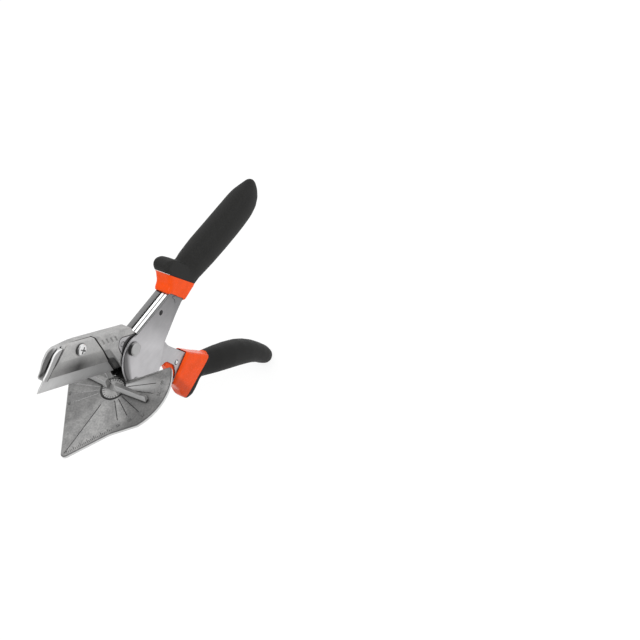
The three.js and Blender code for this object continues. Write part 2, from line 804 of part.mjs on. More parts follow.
function pivotBolt() {
  const seat = -channelHalf - gap;
  const end = channelHalf + pivotWasherThickness + pivotNutHeight + gap * 4;
  return turned([
    [0, seat - pivotHeadHeight],
    [pivotHeadRadius - pivotHeadDome * 2, seat - pivotHeadHeight],
    [pivotHeadRadius, seat - pivotHeadHeight + pivotHeadDome],
    [pivotHeadRadius, seat],
    [pivotShank, seat],
    [pivotShank, end],
    [0, end],
  ], pivotX, pivotZ);
}

function pivotWasher() {
  const y0 = channelHalf + gap;
  const y1 = y0 + pivotWasherThickness;
  return cut(
    crossPin(pivotX, pivotZ, pivotWasherRadius, y0, y1, turnSteps),
    crossPin(pivotX, pivotZ, pivotShank + gap, y0 - overrun, y1 + overrun),
  );
}

function pivotNut() {
  const y0 = channelHalf + gap * 2 + pivotWasherThickness;
  const y1 = y0 + pivotNutHeight - pivotNutCollar;
  const corner = pivotNutAcross / 2 / Math.cos(Math.PI / pivotNutSides);
  const flats = crossPin(pivotX, pivotZ, corner, y0, y1, pivotNutSides);
  const round = crossPin(pivotX, pivotZ, pivotNutAcross / 2, y0, y1 + pivotNutCollar, turnSteps);
  const bore = crossPin(pivotX, pivotZ, pivotShank + gap, y0 - overrun, y1 + pivotNutCollar + overrun);
  return cut(join(flats, round), bore);
}

function tableRivet(depth) {
  const out = channelHalf + gap;
  return turned([
    [0, -out - rivetHeadHeight],
    [rivetHead / 2, -out - rivetHeadHeight * rivetDomeShare],
    [rivetHead, -out],
    [rivetRadius, -out],
    [rivetRadius, out],
    [rivetHead, out],
    [rivetHead / 2, out + rivetHeadHeight * rivetDomeShare],
    [0, out + rivetHeadHeight],
  ], tableRivetX, -depth, holeSteps);
}

// A torsion spring round the pivot: one leg under the upper channel's back, one on the head's arm.
function returnSpring() {
  const half = leverHalf - leverSheet - gap - springWire / 2;
  const under = channelTop(pivotX + springUpperReach) - channelSheet;
  const upper = new THREE.Vector2(springUpperReach, under - pivotZ);
  upper.y -= springWire / 2 + gap;
  const lower = new THREE.Vector2(springLowerReach, -armTop + springWire / 2 + gap)
    .rotateAround(new THREE.Vector2(), -openAngle);
  const touch = (far, side) => far.angle() + side * Math.acos(springRadius / far.length());
  const first = touch(upper, -1);
  let last = touch(lower, 1);
  while (last < first + 2 * Math.PI * springLeastTurns) last += 2 * Math.PI;
  const steps = Math.round(((last - first) / (2 * Math.PI)) * springStepsPerTurn);
  const coil = Array.from({ length: steps + 1 }, (_, k) => {
    const angle = THREE.MathUtils.lerp(first, last, k / steps);
    return new THREE.Vector3(
      pivotX + springRadius * Math.cos(angle),
      THREE.MathUtils.lerp(-half, half, k / steps),
      pivotZ + springRadius * Math.sin(angle),
    );
  });
  const points = [
    new THREE.Vector3(pivotX + upper.x, -half, pivotZ + upper.y),
    ...coil,
    new THREE.Vector3(pivotX + lower.x, half, pivotZ + lower.y),
  ];
  console.log(`return spring: least gap to itself ${leastGap(points).toFixed(2)} mm`);
  return wire(points, springWire / 2);
}

// The least gap of the spring's wire to itself, between stretches that aren't next to each other.
function leastGap(points) {
  const along = [];
  for (let k = 0; k + 1 < points.length; k++) {
    for (let part = 0; part < springSides; part++) {
      along.push(points[k].clone().lerp(points[k + 1], part / springSides));
    }
  }
  const apart = (springStepsPerTurn * springSides) / 2;
  let least = Infinity;
  along.forEach((a, i) => along.slice(i + apart).forEach((b) => {
    least = Math.min(least, a.distanceTo(b));
  }));
  return least - springWire;
}

// A round wire through points, mitred at each point.
function wire(points, radius) {
  const flat = Array.from({ length: springSides }, (_, k) => {
    const angle = (2 * Math.PI * k) / springSides;
    return new THREE.Vector2(Math.cos(angle), Math.sin(angle));
  });
  const across = new THREE.Vector3(0, 1, 0);
  const rings = points.map((point, i) => {
    const before = points[Math.max(i - 1, 0)];
    const after = points[Math.min(i + 1, points.length - 1)];
    const along = after.clone().sub(before).normalize();
    const out = new THREE.Vector3().crossVectors(across, along).normalize();
    const side = new THREE.Vector3().crossVectors(along, out);
    const at = ({ x, y }) => point.clone().addScaledVector(out, x * radius).addScaledVector(side, y * radius);
    return flat.map(at);
  });
  return loft(rings, flat);
}

// Handles

function stationsAlong(shares, start, length, axis, height, width) {
  return shares.map(([along, rise, high, wide]) => ({
    x: start + along * length,
    z: axis + rise * height,
    high: high * height,
    wide: wide * width,
  }));
}

// Along the grip, rise of its middle, half height and half width, as shares of its sizes.
const upperGripShares = [
  [0, 0, 0.95, 0.58],
  [0.08, 0.02, 0.97, 0.66],
  [0.18, 0.01, 0.99, 0.86],
  [0.32, -0.07, 1, 0.98],
  [0.46, -0.17, 1, 1],
  [0.6, -0.25, 1, 1],
  [0.7, -0.29, 0.99, 0.99],
  [0.79, -0.3, 0.97, 0.96],
  [0.86, -0.25, 0.9, 0.88],
  [0.91, -0.13, 0.76, 0.74],
  [0.95, 0.03, 0.57, 0.54],
  [0.98, 0.2, 0.35, 0.33],
  [0.995, 0.3, 0.16, 0.15],
];
const lowerGripShares = [
  [0, 0, 0.94, 0.56],
  [0.12, 0, 0.97, 0.68],
  [0.25, 0, 1, 0.88],
  [0.4, 0, 1, 1],
  [0.52, -0.04, 0.99, 1],
  [0.62, -0.14, 0.94, 0.99],
  [0.71, -0.3, 0.86, 0.95],
  [0.8, -0.56, 0.78, 0.9],
  [0.88, -0.87, 0.74, 0.82],
  [0.94, -1.14, 0.62, 0.7],
  [0.98, -1.33, 0.42, 0.48],
  [1, -1.43, 0.18, 0.2],
];

// The outline of a guard and its collar, from the split's top and the grip's axis.
function guardOutline(shares, x, z, size) {
  const corners = shares.map(([along, up, round]) => [x + size * along, z + size * up, size * round]);
  return rounded(corners.reverse());
}

function upperHandleBody() {
  const grip = gripBody(stationsAlong(
    upperGripShares, upperGripStart, upperGripLength, upperGripAxis, upperGripHeight, upperGripWidth,
  ));
  const outline = guardOutline(upperGuardShares, upperSplitX, upperGripAxis, upperGripHeight);
  return join(grip, pillow(outline, upperCollarHalf, collarRound));
}

function upperHandle() {
  const body = upperHandleBody();
  const tang = (x, grow) => [
    new THREE.Vector2(x, channelTop(x) + grow),
    new THREE.Vector2(x, channelTangBottom - gap - grow),
  ];
  const hole = plate(
    [...tang(channelBackStart, gap), ...tang(channelEnd + gap, gap).reverse()],
    -channelHalf - gap, channelHalf + gap,
  );
  const core = plate([
    new THREE.Vector2(coreFront, channelTop(coreFront) - channelSheet - gap * 2),
    new THREE.Vector2(coreRear, channelTop(coreRear) - channelSheet - gap * 2),
    new THREE.Vector2(coreRear, channelTangBottom - coreBelow),
    new THREE.Vector2(coreFront, channelTangBottom - coreBelow),
  ], -leverHalf, leverHalf);
  const front = halfSpace(upperSplitX, upperSplitZ, upperSplitLean, -1, gap / 2);
  const rear = halfSpace(upperSplitX, upperSplitZ, upperSplitLean, 1, gap / 2);
  return {
    collar: cut(body, cut(hole, core)).intersect(front),
    grip: cut(body, hole).intersect(rear),
  };
}

function lowerHandleBody() {
  const grip = gripBody(stationsAlong(
    lowerGripShares, lowerGripStart, lowerGripLength, -lowerGripAxis, lowerGripHeight, lowerGripWidth,
  ));
  const outline = guardOutline(lowerGuardShares, lowerSplitX, -lowerGripAxis, lowerGripHeight);
  const [from, to, least] = guardTaperShares;
  const taper = (z) => {
    const down = (z + lowerGripAxis) / lowerGripHeight;
    return THREE.MathUtils.mapLinear(THREE.MathUtils.clamp(down, to, from), from, to, 1, least);
  };
  return join(grip, pillow(outline, lowerCollarHalf, collarRound, taper));
}

function lowerHandle() {
  const body = lowerHandleBody();
  const hole = plate([
    new THREE.Vector2(plugFront, -crownZ),
    new THREE.Vector2(collarEntryX, -collarEntryZ + gap),
    new THREE.Vector2(lowerSplitX, -leverTangTop + gap),
    new THREE.Vector2(leverEnd + gap, -leverTangTop + gap),
    new THREE.Vector2(leverEnd + gap, -leverTangBottom - gap),
    new THREE.Vector2(plugFront, -leverTangBottom - gap),
  ], -leverHalf - gap, leverHalf + gap);
  const inner = leverHalf - leverSheet - gap;
  const floor = -leverTangBottom + leverSheet + gap;
  const plug = plate(rounded([
    [plugFront, -plugTop, plugRound],
    [collarEntryX, -collarEntryZ - plugEntryDrop, plugRound],
    [collarEntryX + plugRound, -collarEntryZ, 0],
    [lowerSplitX - plugTail, -leverTangTop + leverSheet * 3, 0],
    [lowerSplitX - plugTail, floor, 0],
    [notchSideX + leverSheet * 2, floor, 0],
    [plugFootX, -plugFootZ, plugRound],
    [plugWaistX, -plugWaistZ, plugRound * 2],
    [plugFront, -plugBottom, plugRound],
  ]), -inner, inner);
  const pinHole = crossPin(stopPinX, -stopPinZ, stopPinRadius + gap, -leverHalf, leverHalf);
  const front = halfSpace(lowerSplitX, -lowerSplitZ, lowerSplitLean, -1, gap / 2);
  const rear = halfSpace(lowerSplitX, -lowerSplitZ, lowerSplitLean, 1, gap / 2);
  return {
    collar: cut(join(cut(body, hole).intersect(front), plug.intersect(front)), pinHole),
    grip: cut(body, hole).intersect(rear),
  };
}

// Pieces of the blade unit, closed, with the pivot at the origin

// A point on the shoulder face at a height.
function shoulderX(z) {
  return (shoulderReach - z * Math.sin(openAngle)) / Math.cos(openAngle);
}

// The front end of the plates, from the top, and as far outside it as asked.
function leverFrontCorners(grow) {
  return [
    [-leverFront - grow, leverTop + grow, leverFrontTopRound + grow],
    [-leverFront - grow, leverCutTop - grow / 3, leverCutRound + grow],
    [-leverHeel - grow, -leverCutBottom - grow / 3, leverCutRound - grow],
  ];
}

function leverOutline() {
  const low = neckZ + gap;
  return [
    [shoulderX(leverTop), leverTop, headRearRound],
    ...leverFrontCorners(0),
    [-leverHeel, -leverBottom, leverCutRound],
    [bellyX, -bellyZ, leverBellyRound],
    [notchTipX, -notchTipZ, channelSheet],
    [notchTopX, -notchTopZ, notchRound],
    [notchPinX, -notchPinZ, notchRound],
    [notchSideX, -notchSideZ, notchRound],
    [notchFootX, -notchFootZ, channelSheet],
    [leverEnd, -leverTangBottom, 0],
    [leverEnd, -leverTangTop, 0],
    [lowerSplitX - plugTail, -leverTangTop, leverBellyRound],
    [collarEntryX, -collarEntryZ, leverBellyRound],
    [dipX, -dipZ, dipRound],
    [crownX, -crownZ, dipRound],
    [neckX, neckZ, leverBellyRound],
    [shoulderX(low), low, channelSheet],
  ];
}

function lowerChannel() {
  const inner = leverHalf - leverSheet;
  const outline = rounded(leverOutline());
  const sides = [plate(outline, -leverHalf, -inner), plate(outline, inner, leverHalf)];
  const web = block(
    notchSideX + leverSheet * 2, leverEnd,
    -leverHalf + leverSheet / 2, leverHalf - leverSheet / 2,
    -leverTangBottom, -leverTangBottom + leverSheet,
  );
  const through = (x, z, radius) => crossPin(x, z, radius, -leverHalf - overrun, leverHalf + overrun);
  return cut(
    join(...sides, web),
    through(0, 0, pivotShank + gap),
    through(stopPinX, -stopPinZ, stopPinRadius + gap),
    ...headRivets.map(([ahead, up]) => through(-ahead, up, headRivetRadius + gap)),
  );
}

function stopPin() {
  const out = leverHalf;
  const [shoulder, rise, rear] = stopPinShares;
  return turned([
    [0, -out - stopPinDome],
    [stopPinRadius * shoulder, -out - stopPinDome * rise],
    [stopPinRadius, -out],
    [stopPinRadius, out],
    [stopPinRadius * shoulder, out + stopPinDome * rear],
    [0, out + stopPinDome * rear],
  ], stopPinX, -stopPinZ, holeSteps);
}

// Where the seat's slanted rear end is at a height.
function seatX(z) {
  const edge = pivotZ - edgeGap;
  return THREE.MathUtils.lerp(-seatBottom, -seatTop, (z + edge) / (headTop + edge));
}

// Where the seat's slanted front end is at a height.
function seatFrontX(z) {
  return THREE.MathUtils.lerp(-seatFrontBottom, -seatFrontTop, (z + clampBottom) / (headTop + clampBottom));
}

function noseOutline() {
  return noseShares.map(([along, up, round]) => [-noseX * along, headTop * up, headTop * round]);
}

// A wedge that thins a face below a height: from nothing there to depth at the bottom.
function bevelWedge(side, top, bottom, depth, xEnd, runOut) {
  const y = (v) => side * v;
  const flat = [
    new THREE.Vector2(y(leverHalf), top),
    new THREE.Vector2(y(leverHalf + overrun), top),
    new THREE.Vector2(y(leverHalf + overrun), bottom - overrun),
    new THREE.Vector2(y(leverHalf - depth), bottom - overrun),
    new THREE.Vector2(y(leverHalf - depth), bottom),
  ];
  const rings = [-noseX - overrun, 0].map((x) => flat.map((p) => {
    const lean = x === 0 ? xEnd + (top - p.y) * runOut : x;
    return new THREE.Vector3(lean, p.x, p.y);
  }));
  return loft(rings, flat);
}

function bladeHead() {
  const edge = pivotZ - edgeGap;
  const half = leverHalf;
  const blade = bladeThickness / 2;
  const rear = plate(rounded([
    [seatX(headTop) + gap, headTop, 0],
    [seatX(-headBottom) + gap, -headBottom, 0],
    [-leverHeel - gap, -headBottom, 0],
    ...leverFrontCorners(gap).reverse(),
    [shoulderX(leverTop + gap), leverTop + gap, 0],
    [shoulderX(headTop), headTop, headRearRound],
  ]), -half, half);
  const whole = rounded([
    [seatX(headTop) + gap + overrun, headTop, 0],
    [seatX(-clampBottom) + gap + overrun, -clampBottom, 0],
    [-noseX, -noseZ, noseTipRound],
    ...noseOutline(),
  ]);
  const backing = plate(whole, blade + gap, half);
  const front = -noseX - overrun;
  const ledge = plate(whole, -blade, half).intersect(block(
    front, 0, -half, half, bladeTop + gap, headTop + overrun,
  ));
  const nose = plate(whole, -half, half).intersect(plate([
    new THREE.Vector2(front, -clampBottom - overrun),
    new THREE.Vector2(seatFrontX(-clampBottom - overrun) - gap, -clampBottom - overrun),
    new THREE.Vector2(seatFrontX(headTop + overrun) - gap, headTop + overrun),
    new THREE.Vector2(front, headTop + overrun),
  ], -half, half));
  const pegs = pegPlaces.map((ahead) => crossPin(-ahead, pegZ, pegRadius, -blade, half - overrun));

  const tongue = plate(rounded([
    [seatX(leverTop - gap) + gap, leverTop - gap, 0],
    [seatX(-leverBottom + gap) + gap, -leverBottom + gap, 0],
    [bellyX, -bellyZ + gap, 0],
    [armReach, -armBottom, overrun],
    [armReach, -armTop, overrun],
    [bellyX, -armTop, overrun],
    [springRadius, -springRadius, 0],
    [-springRadius, -springRadius, 0],
    [-springRadius, leverTop - gap, 0],
  ]), -(half - leverSheet - gap), half - leverSheet - gap);
  const springSpace = crossPin(0, 0, springRadius + springWire / 2 + springRoom, -half, half, turnSteps);

  const pocket = new THREE.SphereGeometry(1, turnSteps, holeSteps);
  pocket.scale(pocketLength, pocketWidth, pocketDepth);
  pocket.rotateY(-pocketLean);
  pocket.translate(-pocketX, 0, pocketZ);

  const grooves = Array.from({ length: gripGrooves }, (_, k) => {
    const geometry = new THREE.BoxGeometry(gripGrooveLength, gripGrooveDepth + overrun, gripGrooveWidth);
    geometry.rotateY(-gripGrooveLean);
    const ahead = gripGrooveFirst - k * gripGroovePitch;
    geometry.translate(-ahead, -half - (overrun - gripGrooveDepth) / 2, gripGrooveZ);
    return solid(geometry);
  });
  const seam = slab([
    new THREE.Vector2(seatX(headTop), -half - overrun),
    new THREE.Vector2(seatX(headTop) + gap, -half - overrun),
    new THREE.Vector2(seatX(headTop) + gap + seamRun, half + overrun),
    new THREE.Vector2(seatX(headTop) + seamRun, half + overrun),
  ], headTop - seamDepth, headTop + overrun);
  const rearWedges = [-1, 1].map((side) => bevelWedge(
    side, bevelTop, -edge, headBevelDepth, -diagonalX, bevelRunOutShare,
  ));
  const backWedge = bevelWedge(1, bevelTop, -clampBottom, bevelDepth, -seatBottom, 0);
  const screwHole = crossPin(-clampScrewX, clampScrewZ, clampScrewShank + gap, -half, half + overrun);
  const body = join(
    cut(rear, ...rearWedges),
    cut(join(backing, ledge, nose), backWedge),
    cut(tongue, springSpace),
    ...pegs,
  );
  const rivetHoles = headRivets.map(([ahead, up]) => crossPin(
    -ahead, up, headRivetRadius + gap, -half, half,
  ));
  return cut(body, solid(pocket), seam, ...grooves, screwHole, ...rivetHoles);
}

function blade() {
  const edge = pivotZ - edgeGap;
  const half = bladeThickness / 2;
  const outline = [
    [-bladeTip, -edge],
    [seatX(-edge) - gap, -edge],
    [seatX(bladeTop) - gap, bladeTop],
    [-bladeTip + bladeFrontRun, bladeTop],
  ].map(([x, z]) => new THREE.Vector2(x, z));
  const grinds = [-1, 1].map((side) => {
    const flat = [
      new THREE.Vector2(side * half, -edge + bladeGrind),
      new THREE.Vector2(side * (half + overrun), -edge + bladeGrind),
      new THREE.Vector2(side * (half + overrun), -edge - overrun),
      new THREE.Vector2((side * bladeLand) / 2, -edge - overrun),
      new THREE.Vector2((side * bladeLand) / 2, -edge),
    ];
    const ring = (x) => flat.map((p) => new THREE.Vector3(x, p.x, p.y));
    const rings = [ring(-bladeTip - overrun), ring(overrun)];
    return loft(rings, flat);
  });
  const holes = pegPlaces.map((ahead) => crossPin(
    -ahead, pegZ, pegRadius + gap, -half - overrun, half + overrun,
  ));
  return cut(plate(outline, -half, half), ...grinds, ...holes);
}

function clampPlate() {
  const back = -bladeThickness / 2 - gap;
  const outline = [
    [seatFrontX(-clampBottom) + gap, -clampBottom],
    [seatX(-clampBottom) - gap, -clampBottom],
    [seatX(headTop - gap) - gap, headTop - gap],
    [seatFrontX(headTop - gap) + gap, headTop - gap],
  ].map(([x, z]) => new THREE.Vector2(x, z));
  const wedge = bevelWedge(-1, bevelTop, -clampBottom, bevelDepth, 0, 0);
  const hole = crossPin(-clampScrewX, clampScrewZ, clampScrewShank + gap, -leverHalf - overrun, 0);
  return cut(plate(outline, -leverHalf, back), wedge, hole);
}

function clampScrew() {
  const seat = -leverHalf - gap;
  const dome = clampScrewHeadHeight;
  const body = turned([
    [0, seat - dome],
    ...clampScrewShares.map(([out, up]) => [clampScrewHead * out, seat - dome * up]),
    [clampScrewHead, seat],
    [clampScrewShank, seat],
    [clampScrewShank, leverHalf - gap],
    [0, leverHalf - gap],
  ], -clampScrewX, clampScrewZ);
  const arms = [0, Math.PI / 2].map((turn) => {
    const geometry = new THREE.BoxGeometry(recessReach * 2, recessDepth + overrun, recessWidth);
    geometry.rotateY(turn + openAngle / 2);
    geometry.translate(-clampScrewX, seat - dome - (overrun - recessDepth) / 2, clampScrewZ);
    return solid(geometry);
  });
  return cut(body, ...arms);
}

function headRivet([ahead, up]) {
  return crossPin(-ahead, up, headRivetRadius, -leverHalf, leverHalf);
}

function pivotSpacer() {
  const half = leverHalf - leverSheet - gap;
  return cut(
    crossPin(0, 0, pivotShank + gap + spacerWall, -half, half, turnSteps),
    crossPin(0, 0, pivotShank + gap, -half - overrun, half + overrun),
  );
}

// The assembly

const group = new THREE.Group();

function place(parent, name, body, finish) {
  const mesh = body.getMesh();
  const geometry = new THREE.BufferGeometry();
  geometry.setAttribute('position', new THREE.Float32BufferAttribute(mesh.vertProperties, 3));
  geometry.setIndex(new THREE.Uint32BufferAttribute(mesh.triVerts, 1));
  geometry.computeVertexNormals();
  const piece = new THREE.Mesh(geometry, new THREE.MeshStandardMaterial(palette[finish]));
  piece.name = name;
  parent.add(piece);
}

const bladeUnit = new THREE.Group();
bladeUnit.position.set(pivotX, 0, pivotZ);
bladeUnit.rotation.y = openAngle;
group.add(bladeUnit);

place(group, 'fan_table', fanTable(), 'castAluminium');
place(group, 'upper_channel', upperChannel(), 'brightSteel');
place(group, 'pivot_bolt', pivotBolt(), 'brightSteel');
place(group, 'pivot_washer', pivotWasher(), 'brightSteel');
place(group, 'pivot_nut', pivotNut(), 'brightSteel');
place(group, 'return_spring', returnSpring(), 'darkSteel');
tableRivetDepths.forEach((depth, i) => {
  place(group, `table_rivet_${i + 1}`, tableRivet(depth), 'brightSteel');
});
const upper = upperHandle();
place(group, 'upper_collar', upper.collar, 'orangePlastic');
place(group, 'upper_grip', upper.grip, 'blackRubber');

place(group, 'swivel_fence', swivelFence(), 'castAluminium');
place(group, 'fence_screw', fenceScrew(), 'brightSteel');
place(group, 'fence_washer', fenceWasher(), 'brightSteel');

place(bladeUnit, 'blade_head', bladeHead(), 'castHead');
place(bladeUnit, 'blade', blade(), 'bladeSteel');
place(bladeUnit, 'clamp_plate', clampPlate(), 'castHead');
place(bladeUnit, 'clamp_screw', clampScrew(), 'brightSteel');
place(bladeUnit, 'lower_channel', lowerChannel(), 'brightSteel');
headRivets.forEach((where, i) => place(bladeUnit, `head_rivet_${i + 1}`, headRivet(where), 'brightSteel'));
place(bladeUnit, 'pivot_spacer', pivotSpacer(), 'brightSteel');
place(bladeUnit, 'stop_pin', stopPin(), 'brightSteel');
const lower = lowerHandle();
place(bladeUnit, 'lower_collar', lower.collar, 'orangePlastic');
place(bladeUnit, 'lower_grip', lower.grip, 'blackRubber');

export default group;
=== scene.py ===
import json
import math

import bmesh
import bpy
from bpy.props import FloatProperty, FloatVectorProperty, IntProperty, PointerProperty
from mathutils import Matrix, Vector


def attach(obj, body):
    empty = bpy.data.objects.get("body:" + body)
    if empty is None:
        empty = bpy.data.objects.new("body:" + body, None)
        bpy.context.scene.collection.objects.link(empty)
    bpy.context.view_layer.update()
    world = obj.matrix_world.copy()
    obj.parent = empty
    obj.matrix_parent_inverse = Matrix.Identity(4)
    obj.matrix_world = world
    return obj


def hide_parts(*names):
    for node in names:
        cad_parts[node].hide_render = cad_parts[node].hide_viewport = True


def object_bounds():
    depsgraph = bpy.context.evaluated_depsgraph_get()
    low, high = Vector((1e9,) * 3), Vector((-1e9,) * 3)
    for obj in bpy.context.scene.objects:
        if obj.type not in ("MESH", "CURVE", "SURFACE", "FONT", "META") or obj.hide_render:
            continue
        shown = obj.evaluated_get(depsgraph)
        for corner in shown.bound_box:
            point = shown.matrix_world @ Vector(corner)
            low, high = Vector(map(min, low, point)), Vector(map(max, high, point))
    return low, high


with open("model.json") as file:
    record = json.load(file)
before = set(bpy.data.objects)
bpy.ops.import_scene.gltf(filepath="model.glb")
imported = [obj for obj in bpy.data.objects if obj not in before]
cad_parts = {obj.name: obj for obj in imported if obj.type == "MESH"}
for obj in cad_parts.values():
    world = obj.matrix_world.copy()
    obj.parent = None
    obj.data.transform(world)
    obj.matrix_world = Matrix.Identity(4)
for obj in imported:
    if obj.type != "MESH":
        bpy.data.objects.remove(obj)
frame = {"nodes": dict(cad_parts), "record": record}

bl_info = {
    "name": "Mitre Shears",
    "version": (1, 0, 0),
    "blender": (4, 5, 0),
    "location": "View3D > Sidebar > Shears",
    "description": "Dresses the solid model of a pair of mitre shears",
    "category": "Object",
}

MM = 0.001
RECORD = frame["record"]
BODY_OF = {node: body for body, nodes in RECORD["behaviour"]["bodies"].items() for node in nodes}
SLOT_OF = {part["node"]: part["material_slot"] for part in RECORD["subparts"]}
CAD_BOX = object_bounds()


def mm(*lengths):
    """A place given in millimetres, in metres."""
    return Vector(lengths) * MM


def leaning(degrees):
    """A direction towards the handles that leans up by an angle."""
    return Vector((math.cos(math.radians(degrees)), 0, math.sin(math.radians(degrees))))


PIVOT = mm(26, 0, 15.5)
# From the blade unit's own frame, closed and with the pivot at its origin, to where it stands open.
OPENED = Matrix.Translation(PIVOT) @ Matrix.Rotation(math.radians(40.8), 4, "Y")


def opened(*closed):
    """A direction of the closed blade unit, as it points when the unit stands open."""
    return OPENED.to_3x3() @ Vector(closed)


# The leaf-shaped hollow in the nose: its axes and centre in the closed blade unit, and its half sizes.
LEAF = Matrix.Translation(mm(-72.3, 0, 5.2)) @ Matrix.Rotation(-math.radians(57), 4, "Y")
LEAF_LENGTH, LEAF_WIDTH = 12.5 * MM, 4 * MM
# The two joints across the head's side, closed, from their lower to their upper end, x and z in millimetres.
FRONT_SEAM = ((-75.0, -6.3), (-62.4, 15.0))
REAR_SEAM = ((-10.6, -15.2), (-36.8, 15.0))
# For each handle a point of the joint between its collar and its grip, and the direction square to it.
UPPER_JOINT, UPPER_NORMAL = mm(78.6, 0, 33.5), leaning(28)
LOWER_JOINT, LOWER_NORMAL = OPENED @ mm(85.2, 0, -24.8), opened(*leaning(-33)).normalized()
TABLE_RADIUS = 40.1 * MM
# How far below its face the table's marks are painted. They are cut 0.4 mm deep.
MARK_REACH = 0.6 * MM
# Tints of the cast and of the pressed metal.
WARM, COOL = (1.01, 1.0, 0.985), (1.0, 0.985, 1.01)
# Kinds of sockets.
FLOAT, COLOUR, VECTOR = "NodeSocketFloat", "NodeSocketColor", "NodeSocketVector"


# Node trees


def fill(tree, sockets, values):
    """Links each of the named inputs to a socket, or sets it to a value."""
    for key, value in values.items():
        if isinstance(value, bpy.types.NodeSocket):
            tree.links.new(value, sockets[key])
        else:
            sockets[key].default_value = value


def spaced(values):
    """The values under their sockets' names, which have spaces for underscores."""
    return {key.replace("_", " "): value for key, value in values.items()}


def add(tree, kind, inputs=None, **settings):
    """A new node with its settings and its inputs."""
    made = tree.nodes.new("ShaderNode" + kind)
    for key, value in settings.items():
        setattr(made, key, value)
    fill(tree, made.inputs, inputs or {})
    return made


def node_group(name, inputs, outputs, build):
    """A shader node group, built once, from its inputs' defaults and its outputs' kinds.
    build(tree, given) returns the sockets of the outputs."""
    if name in bpy.data.node_groups:
        return bpy.data.node_groups[name]
    tree = bpy.data.node_groups.new(name, "ShaderNodeTree")
    for label, value in inputs.items():
        kind = FLOAT if isinstance(value, float) else {3: VECTOR, 4: COLOUR}[len(value)]
        tree.interface.new_socket(label, in_out="INPUT", socket_type=kind).default_value = value
    for label, kind in outputs.items():
        tree.interface.new_socket(label, in_out="OUTPUT", socket_type=kind)
    given = tree.nodes.new("NodeGroupInput").outputs
    result = tree.nodes.new("NodeGroupOutput")
    fill(tree, result.inputs, build(tree, given))
    return tree


def use_group(tree, group, **inputs):
    """The outputs of a node group with these inputs."""
    made = add(tree, "Group", node_tree=group)
    fill(tree, made.inputs, spaced(inputs))
    return made.outputs


def join(kind, inputs, **settings):
    """The outputs of a new node, in the tree that its linked inputs come from."""
    tree = next(value.id_data for value in inputs.values() if isinstance(value, bpy.types.NodeSocket))
    return add(tree, kind, inputs, **settings).outputs


def calc(operation, first, second=0.0, clamp=False):
    return join("Math", {0: first, 1: second}, operation=operation, use_clamp=clamp)[0]


def times(value, *others):
    """The product of values. Of masks, it is full where all of them are."""
    for other in others:
        value = calc("MULTIPLY", value, other)
    return value


def minus(first, second, clamp=False):
    return calc("SUBTRACT", first, second, clamp)


def average(first, second):
    return times(calc("ADD", first, second), 0.5)


def spread(value, low, high, to_low=0.0, to_high=1.0):
    """Maps value from low..high to to_low..to_high, and holds it there."""
    inputs = {"Value": value, "From Min": low, "From Max": high, "To Min": to_low, "To Max": to_high}
    return join("MapRange", inputs)["Result"]


def mixed(share, first, second, blend="MIX"):
    return join("Mix", {0: share, 6: first, 7: second}, data_type="RGBA", blend_type=blend)[2]


def shaded(colour, mask, share):
    """The colour, multiplied by a share where the mask is full."""
    return mixed(mask, colour, (share, share, share, 1), "MULTIPLY")


def blended(colour, shares):
    """The colour, multiplied by shares that are given as a grey."""
    return mixed(1.0, colour, shares, "MULTIPLY")


def ramp(value, stops):
    """Shares along a value from 0 to 1, as a grey colour: each stop has its place and its share."""
    outputs = join("ValToRGB", {"Fac": value})
    band = outputs[0].node.color_ramp
    band.elements.remove(band.elements[1])
    for place, share in stops[1:]:
        band.elements.new(place).color = (share, share, share, 1)
    place, share = stops[0]
    band.elements[0].position = place
    band.elements[0].color = (share, share, share, 1)
    return outputs["Color"]


def surface_place(tree):
    """The place of a point of the surface. Every piece's origin is the object's origin."""
    return add(tree, "TexCoord").outputs["Object"]


def dot(first, second):
    return join("VectorMath", {0: first, 1: second}, operation="DOT_PRODUCT")["Value"]


def place_along(tree, direction):
    """How far a point of the surface lies along a direction, in metres."""
    return dot(surface_place(tree), direction)


def past(tree, start, direction):
    """How far a point of the surface lies past a start along a direction, in metres."""
    return minus(place_along(tree, direction), start.dot(direction))


def past_pivot(tree, *closed):
    """How far a point lies past the pivot along a direction of the closed blade unit, in metres."""
    return past(tree, PIVOT, opened(*closed))


def off_middle(tree):
    """How far a point of the surface lies from the middle plane, in metres."""
    return calc("ABSOLUTE", place_along(tree, (0, 1, 0)))


def distance(tree, centre, axes):
    """How far a point of the surface lies from a centre, in metres, along some of the axes only."""
    offset = join("VectorMath", {0: surface_place(tree), 1: centre}, operation="SUBTRACT")
    flat = join("VectorMath", {0: offset[0], 1: axes}, operation="MULTIPLY")
    return join("VectorMath", {0: flat[0]}, operation="LENGTH")["Value"]


def grain_group():
    """Noise of a grain size in metres, stretched along the axes."""
    def build(tree, given):
        drawn = join("VectorMath", {0: surface_place(tree), 1: given["Stretch"]}, operation="MULTIPLY")
        scale = calc("DIVIDE", 1.0, given["Size"])
        inputs = {"Vector": drawn[0], "Scale": scale, "Detail": given["Detail"], "Roughness": 0.6}
        return {"Value": join("TexNoise", inputs)["Fac"]}
    inputs = {"Size": 0.001, "Detail": 2.0, "Stretch": (1.0, 1.0, 1.0)}
    return node_group("Grain", inputs, {"Value": FLOAT}, build)


def grain(tree, size, detail, **inputs):
    return use_group(tree, grain_group(), Size=size, Detail=detail, **inputs)["Value"]


